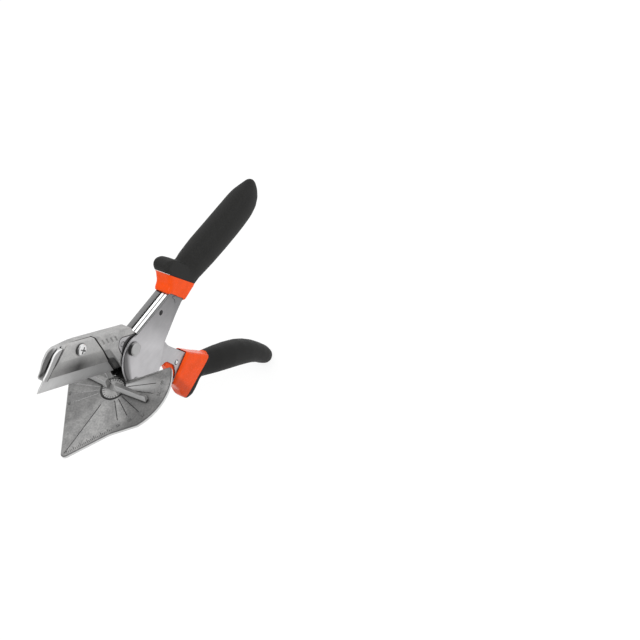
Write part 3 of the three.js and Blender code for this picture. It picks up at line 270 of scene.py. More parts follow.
def edge_wear_group():
    """A mask of the edges, broken up by grain, and the normal of edges eased by a radius. The mask lightens
    edges: partly wear, partly a painted highlight.
    """
    def build(tree, given):
        eased = join("Bevel", {"Radius": given["Radius"]}, samples=4)[0]
        plain = add(tree, "NewGeometry").outputs["Normal"]
        turned = minus(1.0, dot(eased, plain), clamp=True)
        speck = spread(grain(tree, 0.0015, 3.0), 0.35, 0.65, 1.0, 5.0)
        broken = times(turned, speck)
        return {"Mask": calc("MULTIPLY", broken, given["Strength"], clamp=True), "Normal": eased}
    inputs = {"Radius": 0.0003, "Strength": 1.0}
    return node_group("Edge Wear And Highlight", inputs, {"Mask": FLOAT, "Normal": VECTOR}, build)


def engraving_group():
    """A mask of the marks in the face at height zero: all that lies just below it, down to a depth."""
    def build(tree, given):
        height = join("SeparateXYZ", {0: surface_place(tree)})["Z"]
        below = calc("LESS_THAN", height, -0.00004)
        above = calc("GREATER_THAN", height, times(given["Depth"], -1.0))
        return {"Mask": times(below, above)}
    return node_group("Engraving", {"Depth": MARK_REACH}, {"Mask": FLOAT}, build)


def crevice_group():
    """A mask of painted shade in gaps and inner corners within a reach in metres, from ambient occlusion."""
    def build(tree, given):
        open_share = join("AmbientOcclusion", {"Distance": given["Reach"]}, samples=6)["AO"]
        return {"Mask": spread(open_share, 0.4, 0.95, 1.0, 0.0)}
    return node_group("Crevice Shade", {"Reach": 0.001}, {"Mask": FLOAT}, build)


def turned_side_group():
    """A mask of the faces that look along a direction, by how much they do."""
    def build(tree, given):
        along = dot(add(tree, "TexCoord").outputs["Normal"], given["Direction"])
        return {"Mask": spread(along, given["Least"], given["Most"])}
    inputs = {"Direction": (0.0, 0.0, 1.0), "Least": 0.3, "Most": 0.6}
    return node_group("Turned Side", inputs, {"Mask": FLOAT}, build)


SKIN_COLOURS = {"Dark": (0.3, 0.3, 0.3, 1), "Light": (0.4, 0.4, 0.4, 1)}
SKIN_OUTPUTS = {"Colour": COLOUR, "Roughness": FLOAT, "Height": FLOAT}


def cast_skin_group():
    """Tumbled cast metal: slow mottling, a fine grain and small pits."""
    def build(tree, given):
        fine = grain(tree, given["Grain Size"], 4.0)
        both = average(grain(tree, 0.007, 3.0), fine)
        return {
            "Colour": mixed(spread(both, 0.36, 0.62), given["Dark"], given["Light"]),
            "Roughness": spread(both, 0.35, 0.65, given["Rough Most"], given["Rough Least"]),
            "Height": fine,
        }
    inputs = {**SKIN_COLOURS, "Grain Size": 0.0005, "Rough Least": 0.3, "Rough Most": 0.5}
    return node_group("Cast Skin", inputs, SKIN_OUTPUTS, build)


def rolled_skin_group():
    """Rolled or ground sheet: long fine strokes over a slow cloudiness."""
    def build(tree, given):
        strokes = grain(tree, given["Stroke Size"], 2.0, Stretch=given["Stretch"])
        both = average(strokes, grain(tree, 0.014, 2.0))
        return {
            "Colour": mixed(spread(both, 0.36, 0.62), given["Dark"], given["Light"]),
            "Roughness": spread(strokes, 0.3, 0.7, given["Rough Least"], given["Rough Most"]),
            "Height": strokes,
        }
    inputs = {
        **SKIN_COLOURS, "Stroke Size": 0.0004, "Stretch": (0.05, 1.0, 1.0),
        "Rough Least": 0.2, "Rough Most": 0.35,
    }
    return node_group("Rolled Skin", inputs, SKIN_OUTPUTS, build)


def pebble_group():
    """The fine pebbled texture of a soft moulded grip."""
    def build(tree, given):
        scale = calc("DIVIDE", 1.0, given["Size"])
        inputs = {"Vector": surface_place(tree), "Scale": scale, "Smoothness": 0.6}
        cells = join("TexVoronoi", inputs, feature="SMOOTH_F1")
        dome = minus(1.0, cells["Distance"], clamp=True)
        return {"Height": dome, "Speck": grain(tree, given["Size"], 3.0)}
    return node_group("Pebble", {"Size": 0.0008}, {"Height": FLOAT, "Speck": FLOAT}, build)


# Materials


def material(name, paint):
    """A material that is made once. paint(tree, surface) fills in the Principled BSDF."""
    made = bpy.data.materials.get(name)
    if made is None:
        made = bpy.data.materials.new(name)
        made.use_nodes = True
        paint(made.node_tree, made.node_tree.nodes["Principled BSDF"])
    return made


def feed(tree, surface, **values):
    fill(tree, surface.inputs, spaced(values))


def bump(height, normal, depth, strength):
    inputs = {"Height": height, "Normal": normal, "Distance": depth, "Strength": strength}
    return join("Bump", inputs)["Normal"]


def grey(level, tint=(1.0, 1.0, 1.0)):
    """A grey of a display level from 0 to 255, as a linear colour with a slight tint."""
    linear = ((level / 255 + 0.055) / 1.055) ** 2.4
    return (linear * tint[0], linear * tint[1], linear * tint[2], 1)


def scaled(colour, share):
    """A lighter or darker colour, not past full light."""
    return tuple(min(1.0, part * share) for part in colour[:3]) + (1,)


def turned_side(tree, direction, least, most):
    return use_group(tree, turned_side_group(), Direction=direction, Least=least, Most=most)["Mask"]


# Painted shade in gaps and inner corners, from ambient occlusion.
def crevice(tree, reach):
    return use_group(tree, crevice_group(), Reach=reach)["Mask"]


def seam(tree, joint, reach):
    """A mask of the places beside a straight joint of the blade unit, seen from its side."""
    (x, z), (end_x, end_z) = joint
    along = Vector((end_x - x, 0, end_z - z)).normalized()
    off = past(tree, OPENED @ mm(x, 0, z), opened(along.z, 0, -along.x))
    return spread(calc("ABSOLUTE", off), reach, reach * 0.55)


def near_seams(tree, front, rear, least, most):
    """A mask of the head's two joints on the faces that look to the near side."""
    dark = calc("MAXIMUM", seam(tree, FRONT_SEAM, front), seam(tree, REAR_SEAM, rear))
    return times(dark, turned_side(tree, (0, -1, 0), least, most))


def cast_metal(name, dark, light, grain_size, rough, dress):
    """Cast metal. dress(tree, colour) shades its skin by place and side."""
    def paint(tree, surface):
        skin = use_group(
            tree, cast_skin_group(), Dark=dark, Light=light, Grain_Size=grain_size,
            Rough_Least=rough[0], Rough_Most=rough[1],
        )
        edge = use_group(tree, edge_wear_group(), Radius=0.0003, Strength=0.8)
        # Edges are lightened: partly wear, partly a painted highlight.
        colour = mixed(edge["Mask"], dress(tree, skin["Colour"]), scaled(light, 1.4))
        feed(
            tree, surface, Base_Color=colour, Metallic=0.55, Roughness=skin["Roughness"],
            Normal=bump(skin["Height"], edge["Normal"], 0.00004, 0.6),
        )
    return material(name, paint)


def rolled_metal(
    name, dark, light, rough, stretch=(0.05, 1.0, 1.0), stroke=0.0004, depth=0.00001, metallic=0.6,
    dress=None,
):
    """Rolled, drawn or ground metal. dress(tree, colour) shades its skin by place and side."""
    def paint(tree, surface):
        skin = use_group(
            tree, rolled_skin_group(), Dark=dark, Light=light, Stroke_Size=stroke, Stretch=stretch,
            Rough_Least=rough[0], Rough_Most=rough[1],
        )
        # The edge mask lightens the edges below: partly wear, partly a painted highlight.
        edge = use_group(tree, edge_wear_group(), Radius=0.0002, Strength=0.7)
        colour = dress(tree, skin["Colour"]) if dress else skin["Colour"]
        feed(
            tree, surface, Base_Color=mixed(edge["Mask"], colour, scaled(light, 1.35)),
            Metallic=metallic, Roughness=skin["Roughness"],
            Normal=bump(skin["Height"], edge["Normal"], depth, 0.5),
        )
    return material(name, paint)


# Painted reflection on the table: how light it is in sectors round the fence, from the handles' side
# through the near side, the tip and the far side: degrees from the tip, and a share of its lightest grey.
TABLE_REFLECTION_SECTORS = [
    (-180, 0.72), (-126, 0.72), (-121, 1), (-114, 1), (-108, 0.76), (-95, 0.66), (-75, 0.58),
    (-62, 0.72), (-50, 1), (-38, 0.72), (-20, 0.9), (-1.5, 0.94), (-0.5, 0.66), (3, 0.74), (10, 0.78),
    (22, 0.6), (33, 0.55), (65, 0.56), (110, 0.56), (180, 0.72),
]


def cast_alloy():
    """The table's metal: painted reflection in sectors round the fence, a painted highlight on its rim, and
    its marks.
    """
    def dress(tree, colour):
        ahead, left = place_along(tree, (-1, 0, 0)), place_along(tree, (0, 1, 0))
        off = distance(tree, (0, 0, 0), (1, 1, 0))
        # Painted reflection on the upward faces, in sectors round the fence.
        swing = calc("ARCTAN2", left, ahead)
        stops = [((angle + 180) / 360, share) for angle, share in TABLE_REFLECTION_SECTORS]
        painted_sheen = ramp(spread(swing, -math.pi, math.pi), stops)
        up = turned_side(tree, (0, 0, 1), 0.55, 0.9)
        down = turned_side(tree, (0, 0, -1), 0.55, 0.9)
        colour = mixed(up, colour, blended(colour, painted_sheen))
        # A painted highlight on the near side, towards the handles, that fades outwards.
        near_stops = [(0.25, 0), (0.29, 1), (0.37, 1), (0.43, 0)]
        glow = ramp(spread(swing, -math.pi, 0.0), near_stops)
        fade = spread(off, 33 * MM, 14 * MM)
        colour = mixed(times(glow, fade), colour, grey(232))
        # The dark joint round the fence's disc.
        ring = calc("ABSOLUTE", minus(off, 8.9 * MM))
        colour = shaded(colour, spread(ring, 0.6 * MM, 0.4 * MM), 0.05)
        # Painted shade on the near corner, towards the tip.
        near = spread(left, -18 * MM, -28 * MM)
        before = spread(ahead, 8 * MM, 20 * MM)
        colour = shaded(colour, times(near, before), 0.54)
        # A painted highlight on the faces round the rim that look neither up nor down.
        rim = minus(1.0, calc("ADD", up, down), clamp=True)
        colour = mixed(times(rim, 0.85), colour, grey(216))
        # Painted shade in gaps and inner corners, and round the fence's foot.
        colour = shaded(colour, crevice(tree, 2.6 * MM), 0.07)
        # Painted shade on the neck behind the fence, between the channel's plates.
        neck = times(spread(ahead, -8 * MM, -9.5 * MM), spread(off_middle(tree), 4.6 * MM, 4.2 * MM))
        colour = shaded(colour, neck, 0.05)
        # Painted shade in the marks on the near side, and painted light in them on the far side.
        mark = use_group(tree, engraving_group(), Depth=MARK_REACH)["Mask"]
        line = mixed(spread(left, 1 * MM, 3 * MM), grey(44), grey(196))
        return mixed(times(mark, 0.75), colour, line)
    return cast_metal("cast_alloy", grey(136), grey(170, WARM), 0.0013, (0.4, 0.55), dress)


def cast_fence_metal():
    """The fence's metal: painted shade on top, a painted highlight on the side that looks to the tip, and
    dark round its brim.
    """
    def dress(tree, colour):
        raised = spread(place_along(tree, (0, 0, 1)), 0.5 * MM, 1.5 * MM)
        # Painted shade on the tops of the raised wings.
        up = turned_side(tree, (0, 0, 1), 0.5, 0.85)
        colour = shaded(colour, times(raised, up), 0.64)
        brim = spread(distance(tree, (0, 0, 0), (1, 1, 0)), 7.7 * MM, 8.0 * MM)
        colour = shaded(colour, times(brim, minus(1.0, raised)), 0.06)
        # A painted highlight on the raised faces that look to the tip.
        ahead = turned_side(tree, (-1, 0, 0), 0.3, 0.7)
        colour = mixed(times(raised, ahead), colour, grey(206))
        # Painted shade in gaps and inner corners.
        return shaded(colour, crevice(tree, 1.2 * MM), 0.15)
    return cast_metal("cast_fence_metal", grey(138), grey(166, WARM), 0.0009, (0.38, 0.5), dress)


def leaf_streaks(tree, colour):
    """The colour, with painted reflections of streaks in the nose's hollow and a painted highlight along its
    edge.
    """
    axes = OPENED @ LEAF
    shares = []
    for column, half in ((0, LEAF_LENGTH), (2, LEAF_WIDTH)):
        off = past(tree, axes.translation, axes.to_3x3().col[column])
        shares.append(calc("DIVIDE", off, half))
    squares = [times(share, share) for share in shares]
    streaks = ramp(spread(shares[0], -1.0, 1.0), [
        (0, 0.45), (0.12, 0.12), (0.35, 0.2), (0.5, 0.22), (0.62, 0.4), (0.72, 0.95), (0.86, 1),
        (0.93, 0.5), (1, 0.15),
    ])
    across = place_along(tree, (0, 1, 0))
    inside = times(
        spread(across, -4.0 * MM, -3.8 * MM), spread(across, 1.9 * MM, 1.3 * MM),
        spread(calc("ADD", *squares), 1.06, 0.92),
    )
    edge = times(inside, spread(across, -2.6 * MM, -3.1 * MM))
    # Painted reflection inside the hollow, then a painted highlight along its edge.
    colour = mixed(inside, colour, blended(grey(226), streaks))
    return mixed(edge, colour, grey(240))


def cast_head_metal():
    """The cast head's metal: painted shade on its lower bevel and its tongue, and painted reflection in the
    nose's hollow.
    """
    def dress(tree, colour):
        ahead = past_pivot(tree, -1, 0, 0)
        # Painted shade on the lower bevel, behind the nose.
        bevel = turned_side(tree, opened(0, 0, -1), 0.05, 0.12)
        behind_nose = spread(ahead, 42 * MM, 38 * MM)
        colour = shaded(colour, times(bevel, behind_nose), 0.7)
        # Painted shade on the tongue, between the channel's plates.
        tongue = times(
            spread(off_middle(tree), 3.3 * MM, 3.1 * MM), spread(ahead, 26 * MM, 24 * MM),
            minus(1.0, turned_side(tree, opened(0, 0, 1), 0.3, 0.6)),
        )
        colour = shaded(colour, tongue, 0.2)
        # Painted light on the nose's near side; its other sides get a darker grey.
        nose = spread(ahead, 60 * MM, 64 * MM)
        paint = mixed(turned_side(tree, (0, -1, 0), 0.4, 0.7), grey(196), grey(158))
        colour = mixed(times(nose, 0.6), colour, paint)
        # Painted reflection in the nose's hollow.
        colour = leaf_streaks(tree, colour)
        colour = shaded(colour, near_seams(tree, 1.3 * MM, 0.6 * MM, 0.15, 0.4), 0.04)
        # Painted shade in gaps and inner corners.
        return shaded(colour, crevice(tree, 1 * MM), 0.22)
    return cast_metal("cast_head_metal", grey(157), grey(185, WARM), 0.0009, (0.38, 0.5), dress)


def cast_clamp_metal():
    """The clamp plate's metal: light above, with painted reflection on its bevel that is darkest in its
    middle.
    """
    def dress(tree, colour):
        # Painted reflection on the lower bevel: darker, and darkest in its middle.
        along = spread(past_pivot(tree, -1, 0, 0), 10 * MM, 76 * MM)
        band = ramp(along, [
            (0, 0.5), (0.3, 0.62), (0.44, 0.48), (0.56, 0.14), (0.68, 0.36), (0.8, 0.58), (1, 0.62),
        ])
        bevel = turned_side(tree, opened(0, 0, -1), 0.1, 0.2)
        colour = mixed(bevel, colour, blended(colour, band))
        colour = shaded(colour, near_seams(tree, 0.85 * MM, 0.55 * MM, 0.5, 0.8), 0.06)
        # Painted shade in gaps and inner corners, weaker along the top.
        below_top = spread(past_pivot(tree, 0, 0, 1), 13.6 * MM, 14.2 * MM, 1.0, 0.25)
        return shaded(colour, times(crevice(tree, 1 * MM), below_top), 0.2)
    light = grey(192, (1.01, 1.0, 0.98))
    return cast_metal("cast_clamp_metal", grey(173), light, 0.0009, (0.36, 0.48), dress)


def hollow_lip(tree):
    """A mask of the near plate, and shares of painted shade for its flared lip: a dark line inside the rim,
    and a hollow.
    """
    along, up = place_along(tree, (1, 0, 0)), place_along(tree, (0, 0, 1))
    # The plate's front edge is part of an ellipse, and the lip ends at a leaning straight line.
    centre_x, centre_z, half_x, half_z = 28.5 * MM, 1 * MM, 20.2 * MM, 21 * MM
    height = calc("DIVIDE", minus(up, centre_z), half_z)
    square = times(height, height)
    depth = calc("SQRT", minus(1.0, square, clamp=True))
    edge = minus(centre_x, times(depth, half_x))
    inner = calc("ADD", times(up, 0.487), 14.6 * MM)
    share = calc("DIVIDE", minus(inner, along), minus(inner, edge))
    # Shares of painted shade across the lip, from its inner line to its rim.
    shares = ramp(share, [
        (0, 1), (0.15, 0.8), (0.4, 0.36), (0.6, 0.28), (0.75, 0.15), (0.84, 0.04), (0.95, 0.04),
        (0.99, 0.9),
    ])
    within = times(spread(height, 0.98, 0.88), spread(height, -0.32, -0.2))
    return times(turned_side(tree, (0, -1, 0), 0.35, 0.6), within), shares


def satin_sheet(name, inner, reach, level, shade):
    """The pressed plates' steel, with painted shade towards the handles and inside the channel."""
    def dress(tree, colour):
        # Painted shade that deepens towards the handles.
        rise = spread(place_along(tree, (1, 0, 0.5)), 40 * MM, 80 * MM)
        colour = blended(colour, ramp(rise, [(0.0, 1.0), (0.4, 0.66), (1.0, 0.4)]))
        colour = shade(tree, colour)
        # Painted shade inside the channel, close to the middle plane.
        colour = shaded(colour, spread(off_middle(tree), inner, inner - 0.2 * MM), 0.05)
        # Painted shade in gaps and inner corners.
        return shaded(colour, crevice(tree, reach), 0.16)
    return rolled_metal(name, grey(level, COOL), grey(level + 16, COOL), (0.34, 0.46), dress=dress)


def upper_sheet():
    """The upper channel's plates: painted shade along the near lip and on the far plate, and a dark tang."""
    def shade(tree, colour):
        # Painted shade in a hollow along the near lip.
        mask, shares = hollow_lip(tree)
        colour = mixed(mask, colour, blended(colour, shares))
        # Painted shade on the inside of the far plate, towards the front.
        far = times(
            spread(place_along(tree, (0, 1, 0)), 3 * MM, 4 * MM),
            spread(place_along(tree, (1, 0, 0)), 16 * MM, 15 * MM),
            minus(1.0, turned_side(tree, (0, 1, 0), 0.3, 0.6)),
        )
        colour = shaded(colour, far, 0.04)
        tang = spread(past(tree, UPPER_JOINT, UPPER_NORMAL), 0.0, 0.1 * MM)
        return mixed(tang, colour, grey(28))
    return satin_sheet("upper_sheet", 4.7 * MM, 1 * MM, 182, shade)


def lower_sheet():
    """The lower channel's plates, which the upper channel keeps in the dark close to the pivot."""
    def shade(tree, colour):
        # Painted shade where the upper channel covers the plates, close to the pivot.
        covered = spread(distance(tree, PIVOT, (1, 0, 1)), 9.6 * MM, 8.8 * MM)
        return shaded(colour, covered, 0.12)
    return satin_sheet("lower_sheet", 2.9 * MM, 2.2 * MM, 172, shade)


def polished_sheet():
    """The channel's polished back: light, with painted reflections: dark streaks along it that mirror the
    room.
    """
    def dress(tree, colour):
        # Painted reflection: light and dark streaks along the back, by place across it.
        across = spread(place_along(tree, (0, 1, 0)), -5.8 * MM, 5.8 * MM)
        return blended(colour, ramp(across, [
            (0, 0.3), (0.03, 0.1), (0.05, 0.1), (0.075, 0.95), (0.225, 1), (0.24, 0.05), (0.3, 0.05),
            (0.315, 1), (0.46, 1), (0.475, 0), (0.6, 0), (0.62, 0.12), (0.95, 0.17),
        ]))
    return rolled_metal(
        "polished_sheet", grey(222), grey(240), (0.12, 0.2), depth=0.000002, metallic=0.85, dress=dress,
    )


def fitting(name, dark, light):
    """Plated screws, bolt and pins: painted shade on the sides of their heads that face the tip."""
    def dress(tree, colour):
        # Painted shade on the sides of the heads that face the tip.
        colour = shaded(colour, turned_side(tree, (-0.8, 0.1, 0.6), 0.25, 0.7), 0.08)
        # Painted shade in gaps and inner corners.
        return shaded(colour, crevice(tree, 1.2 * MM), 0.05)
    return rolled_metal(name, dark, light, (0.3, 0.42), (1.0, 1.0, 1.0), 0.0005, dress=dress)


def dull_fitting():
    return fitting("dull_fitting", grey(164), grey(180))


def bright_fitting():
    return fitting("bright_fitting", grey(214), grey(236))


def ground_blade():
    """The blade's steel: lighter towards its point."""
    def dress(tree, colour):
        fall = spread(past_pivot(tree, -1, 0, 0), 66 * MM, 26 * MM)
        colour = shaded(colour, fall, 0.6)
        # Painted shade in gaps and inner corners.
        return shaded(colour, crevice(tree, 1 * MM), 0.3)
    return rolled_metal(
        "ground_blade", grey(190), grey(206), (0.34, 0.46), (0.04, 1.0, 1.0), 0.0003, dress=dress,
    )


def spring_wire():
    return rolled_metal("spring_wire", grey(24), grey(44), (0.4, 0.6), (1.0, 1.0, 1.0), 0.0004)


def mark_ink():
    """The numbers' dark metal."""
    def paint(tree, surface):
        colour = mixed(grain(tree, 0.0003, 2.0), grey(52), grey(84))
        feed(tree, surface, Base_Color=colour, Roughness=0.6, Metallic=0.4)
    return material("mark_ink", paint)


def orange_shell():
    """The collars' glossy plastic, slightly clouded, with painted shade at the lower guard's corner."""
    def paint(tree, surface):
        main = (*bpy.context.scene.shear_finish.shell, 1)
        ripple = grain(tree, 0.0012, 2.0)
        edge = use_group(tree, edge_wear_group(), Radius=0.0005, Strength=0.2)
        cloud = spread(grain(tree, 0.006, 2.0), 0.35, 0.65, 0.0, 0.6)
        colour = mixed(cloud, main, scaled(main, 0.82))
        # Edges are lightened: partly wear, partly a painted highlight.
        colour = mixed(edge["Mask"], colour, (0.95, 0.26, 0.12, 1))
        # Painted shade at the lower guard's corner.
        corner = spread(past_pivot(tree, -0.6, 0, -0.8), -6 * MM, -3 * MM)
        colour = shaded(colour, corner, 0.7)
        # Painted shade in gaps and inner corners.
        feed(
            tree, surface, Base_Color=shaded(colour, crevice(tree, 1 * MM), 0.4),
            Roughness=spread(ripple, 0.3, 0.7, 0.2, 0.3), Specular_IOR_Level=0.12,
            Normal=bump(ripple, edge["Normal"], 0.00002, 0.4), Coat_Weight=0.05, Coat_Roughness=0.12,
        )
    return material("orange_shell", paint)


def black_grip():
    """The grips' pebbled rubber, with painted shade below."""
    def paint(tree, surface):
        main = (*bpy.context.scene.shear_finish.rubber, 1)
        pale = scaled(main, 2.1)
        skin = use_group(tree, pebble_group(), Size=0.0009)
        edge = use_group(tree, edge_wear_group(), Radius=0.0006, Strength=0.4)
        colour = mixed(spread(skin["Speck"], 0.4, 0.75), main, pale)
        # Edges are lightened: partly wear, partly a painted highlight.
        colour = mixed(edge["Mask"], colour, pale)
        # Painted shade on the lower parts of the grips.
        low = spread(place_along(tree, (0, 0, 1)), -20 * MM, -50 * MM)
        feed(
            tree, surface, Base_Color=shaded(colour, low, 0.62),
            Roughness=spread(skin["Speck"], 0.3, 0.7, 0.5, 0.68), Specular_IOR_Level=0.2,
            Normal=bump(skin["Height"], edge["Normal"], 0.00006, 0.4),
        )
    return material("black_grip", paint)


# Mesh work


def merged(*nodes):
    """A bmesh of copies of solids, with their loose triangles joined."""
    bm = bmesh.new()
    for node in nodes:
        bm.from_mesh(frame["nodes"][node].data)
    bmesh.ops.remove_doubles(bm, verts=bm.verts, dist=0.001 * MM)
    return bm


def tidied(bm, nearest):
    """Joins flat neighbours into one face and drops slivers."""
    bmesh.ops.dissolve_limit(bm, angle_limit=math.radians(0.6), verts=bm.verts, edges=bm.edges)
    bmesh.ops.dissolve_degenerate(bm, edges=bm.edges, dist=nearest)
    bmesh.ops.dissolve_limit(bm, angle_limit=math.radians(0.6), verts=bm.verts, edges=bm.edges)
    return bm


def sharp_edges(bm, least):
    return [e for e in bm.edges if e.is_manifold and e.calc_face_angle(0) > math.radians(least)]


def ease(bm, edges, width, segments=2):
    bmesh.ops.bevel(
        bm, geom=edges, offset=width, offset_type="OFFSET", segments=segments, profile=0.5,
        affect="EDGES", clamp_overlap=False, loop_slide=True, material=-1,
    )


def mesh_of(name, bm):
    """A mesh with a bmesh's form. The bmesh goes."""
    mesh = bpy.data.meshes.new(name)
    bm.to_mesh(mesh)
    bm.free()
    return mesh


def placed(name, data):
    """A new object in the scene."""
    made = bpy.data.objects.new(name, data)
    bpy.context.scene.collection.objects.link(made)
    return made


def piece(name, bm, finish, node, extra=False, smooth=38, weighted=True):
    """Turns a bmesh into a named piece, which stands for a solid or is an extra beside it."""
    body, slot, stands_for = BODY_OF[node], SLOT_OF[node], () if extra else (node,)
    mesh = mesh_of(name, bm)
    mesh.shade_smooth()
    mesh.set_sharp_from_angle(angle=math.radians(smooth))
    mesh.materials.append(finish)
    made = placed(name, mesh)
    if weighted:
        made.modifiers.new("even_faces", "WEIGHTED_NORMAL").keep_sharp = True
    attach(made, body)
    if stands_for:
        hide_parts(*stands_for)


def eased_piece(node, finish, width, segments=2, least=25, nearest=0.06 * MM):
    """A solid's copy with eased edges, which stands for it."""
    bm = tidied(merged(node), nearest)
    ease(bm, sharp_edges(bm, least), width, segments)
    piece(f"{node}_dressed", bm, finish, node)


def applied(made):
    """The object's mesh with its modifiers applied, as a bmesh. The object goes."""
    graph = bpy.context.evaluated_depsgraph_get()
    mesh = bpy.data.meshes.new_from_object(made.evaluated_get(graph))
    bm = bmesh.new()
    bm.from_mesh(mesh)
    bpy.data.objects.remove(made)
    return bm


def remeshed(bm, voxel):
    """bm under one closed skin of small faces."""
    made = placed("scratch", mesh_of("scratch", bm))
    skin = made.modifiers.new("skin", "REMESH")
    skin.mode = "VOXEL"
    skin.voxel_size = voxel
    return applied(made)


def carved(bm, cutter):
    """bm with the cutter's shape taken out."""
    made, tool = [placed("scratch", mesh_of("scratch", form)) for form in (bm, cutter)]
    hollow = made.modifiers.new("hollow", "BOOLEAN")
    hollow.operation = "DIFFERENCE"
    hollow.object = tool
    result = applied(made)
    bpy.data.objects.remove(tool)
    return result


def smoothed(bm, verts, rounds):
    """Draws each vertex half the way to the middle of its neighbours, in several rounds."""
    for _ in range(rounds):
        bmesh.ops.smooth_vert(
            bm, verts=verts, factor=0.5, use_axis_x=True, use_axis_y=True, use_axis_z=True,
        )


def drawn_out(outline, offset):
    """A bmesh of a flat outline of points, drawn out by an offset."""
    bm = bmesh.new()
    face = bm.faces.new([bm.verts.new(point) for point in outline])
    grown = bmesh.ops.extrude_face_region(bm, geom=[face])["geom"]
    moved = [v for v in grown if isinstance(v, bmesh.types.BMVert)]
    bmesh.ops.translate(bm, verts=moved, vec=offset)
    bmesh.ops.recalc_face_normals(bm, faces=bm.faces)
    return bm


def lettering(text, size, thickness):
    """A bmesh of text that lies flat, centred on the origin, with its underside at height zero."""
    curve = bpy.data.curves.new("lettering", "FONT")
    curve.body = text
    curve.size = size
    curve.extrude = thickness / 2
    curve.resolution_u = 4
    curve.align_x = "CENTER"
    curve.align_y = "CENTER"
    bm = applied(placed("lettering", curve))
    bmesh.ops.translate(bm, verts=bm.verts, vec=(0, 0, thickness / 2))
    return bm


# Settings


def length_setting(label, description, millimetres):
    return FloatProperty(name=label, description=description, default=millimetres * MM, unit="LENGTH")


def colour_setting(label, description, default):
    return FloatVectorProperty(
        name=label, description=description, default=default, size=3, subtype="COLOR", min=0, max=1,
    )


class ShearEdges(bpy.types.PropertyGroup):
    """How far the edges of the pieces are eased, and how fine the meshes are"""
    rim: length_setting("Table rim", "Ease of the table's outer rim", 0.8)
    cast: length_setting("Clamp edges", "Ease of the clamp plate's edges", 0.315)
    sheet: length_setting("Sheet edges", "Ease of the pressed sheets' edges", 0.25)
    fitting: length_setting("Fitting edges", "Ease of screws and pins", 0.25)
    skin: length_setting("Voxel of the head", "Size of the cast head's mesh", 0.3)
    shell: length_setting("Voxel of the handles", "Size of the handles' mesh", 0.6)
    turn: IntProperty(name="Spring points", description="Points in a turn of the spring", default=28, min=8)


class ShearFinish(bpy.types.PropertyGroup):
    """Colours of the moulded pieces"""
    shell: colour_setting("Collars", "Colour of the hard collars", (0.98, 0.086, 0.004))
    rubber: colour_setting("Grips", "Colour of the soft grips", (0.0115, 0.0115, 0.011))


class ShearStage(bpy.types.PropertyGroup):
    """Light and camera"""
    lens: FloatProperty(name="Lens", description="Focal length in millimetres", default=67.5)
    ambient: FloatProperty(name="Ambient", description="Strength of the even light", default=0.85, min=0)
    key: FloatProperty(name="Key light", description="Power of the key light", default=1.8, unit="POWER")


# Pieces of the table unit


class SHEAR_OT_fan_table(bpy.types.Operator):
    """Make the cast table with its rim eased, its marks dark and its numbers"""
    bl_idname = "shear.fan_table"
    bl_label = "Fan Table"

    def execute(self, context):
        edges = context.scene.shear_edges
        bm = tidied(merged("fan_table"), 0.06 * MM)
        ease(bm, [e for e in sharp_edges(bm, 25) if self.on_rim(e)], edges.rim, 3)
        piece("fan_table_dressed", bm, cast_alloy(), "fan_table")
        for side, name in ((-1, "far"), (1, "near")):
            for degrees, share in ((45, 0.79), (60, 0.79), (75, 0.87), (105, 0.88), (120, 0.88)):
                angle = math.pi + side * math.radians(degrees)
                self.number(f"number_{degrees}_{name}", min(degrees, 180 - degrees), angle, share)
        return {"FINISHED"}

    def number(self, name, degrees, angle, share):
        """A number at the end of an angle line, at a share of the table's radius."""
        bm = lettering(str(degrees), 3.0 * MM, 0.03 * MM)
        turn = Matrix.Rotation(angle - math.pi / 2, 4, "Z")
        out = Vector((math.cos(angle), math.sin(angle), 0)) * TABLE_RADIUS * share
        bmesh.ops.transform(bm, matrix=Matrix.Translation(out) @ turn, verts=bm.verts)
        piece(name, bm, mark_ink(), "fan_table", extra=True, weighted=False)

    def on_rim(self, edge):
        """Whether an edge lies round the table's upper face."""
        flat = all(v.co.z > -0.01 * MM for v in edge.verts)
        floor = min(v.co.z for face in edge.link_faces for v in face.verts)
        return flat and floor < -2 * MM and edge.verts[0].co.xy.length > 12 * MM


class SHEAR_OT_fence(bpy.types.Operator):
    """Make the swivel fence and the screw and washer that hold it"""
    bl_idname = "shear.fence"
    bl_label = "Fence"

    def execute(self, context):
        width = context.scene.shear_edges.fitting
        eased_piece("swivel_fence", cast_fence_metal(), width * 0.5)
        eased_piece("fence_screw", bright_fitting(), width)
        eased_piece("fence_washer", bright_fitting(), width * 0.6)
        return {"FINISHED"}


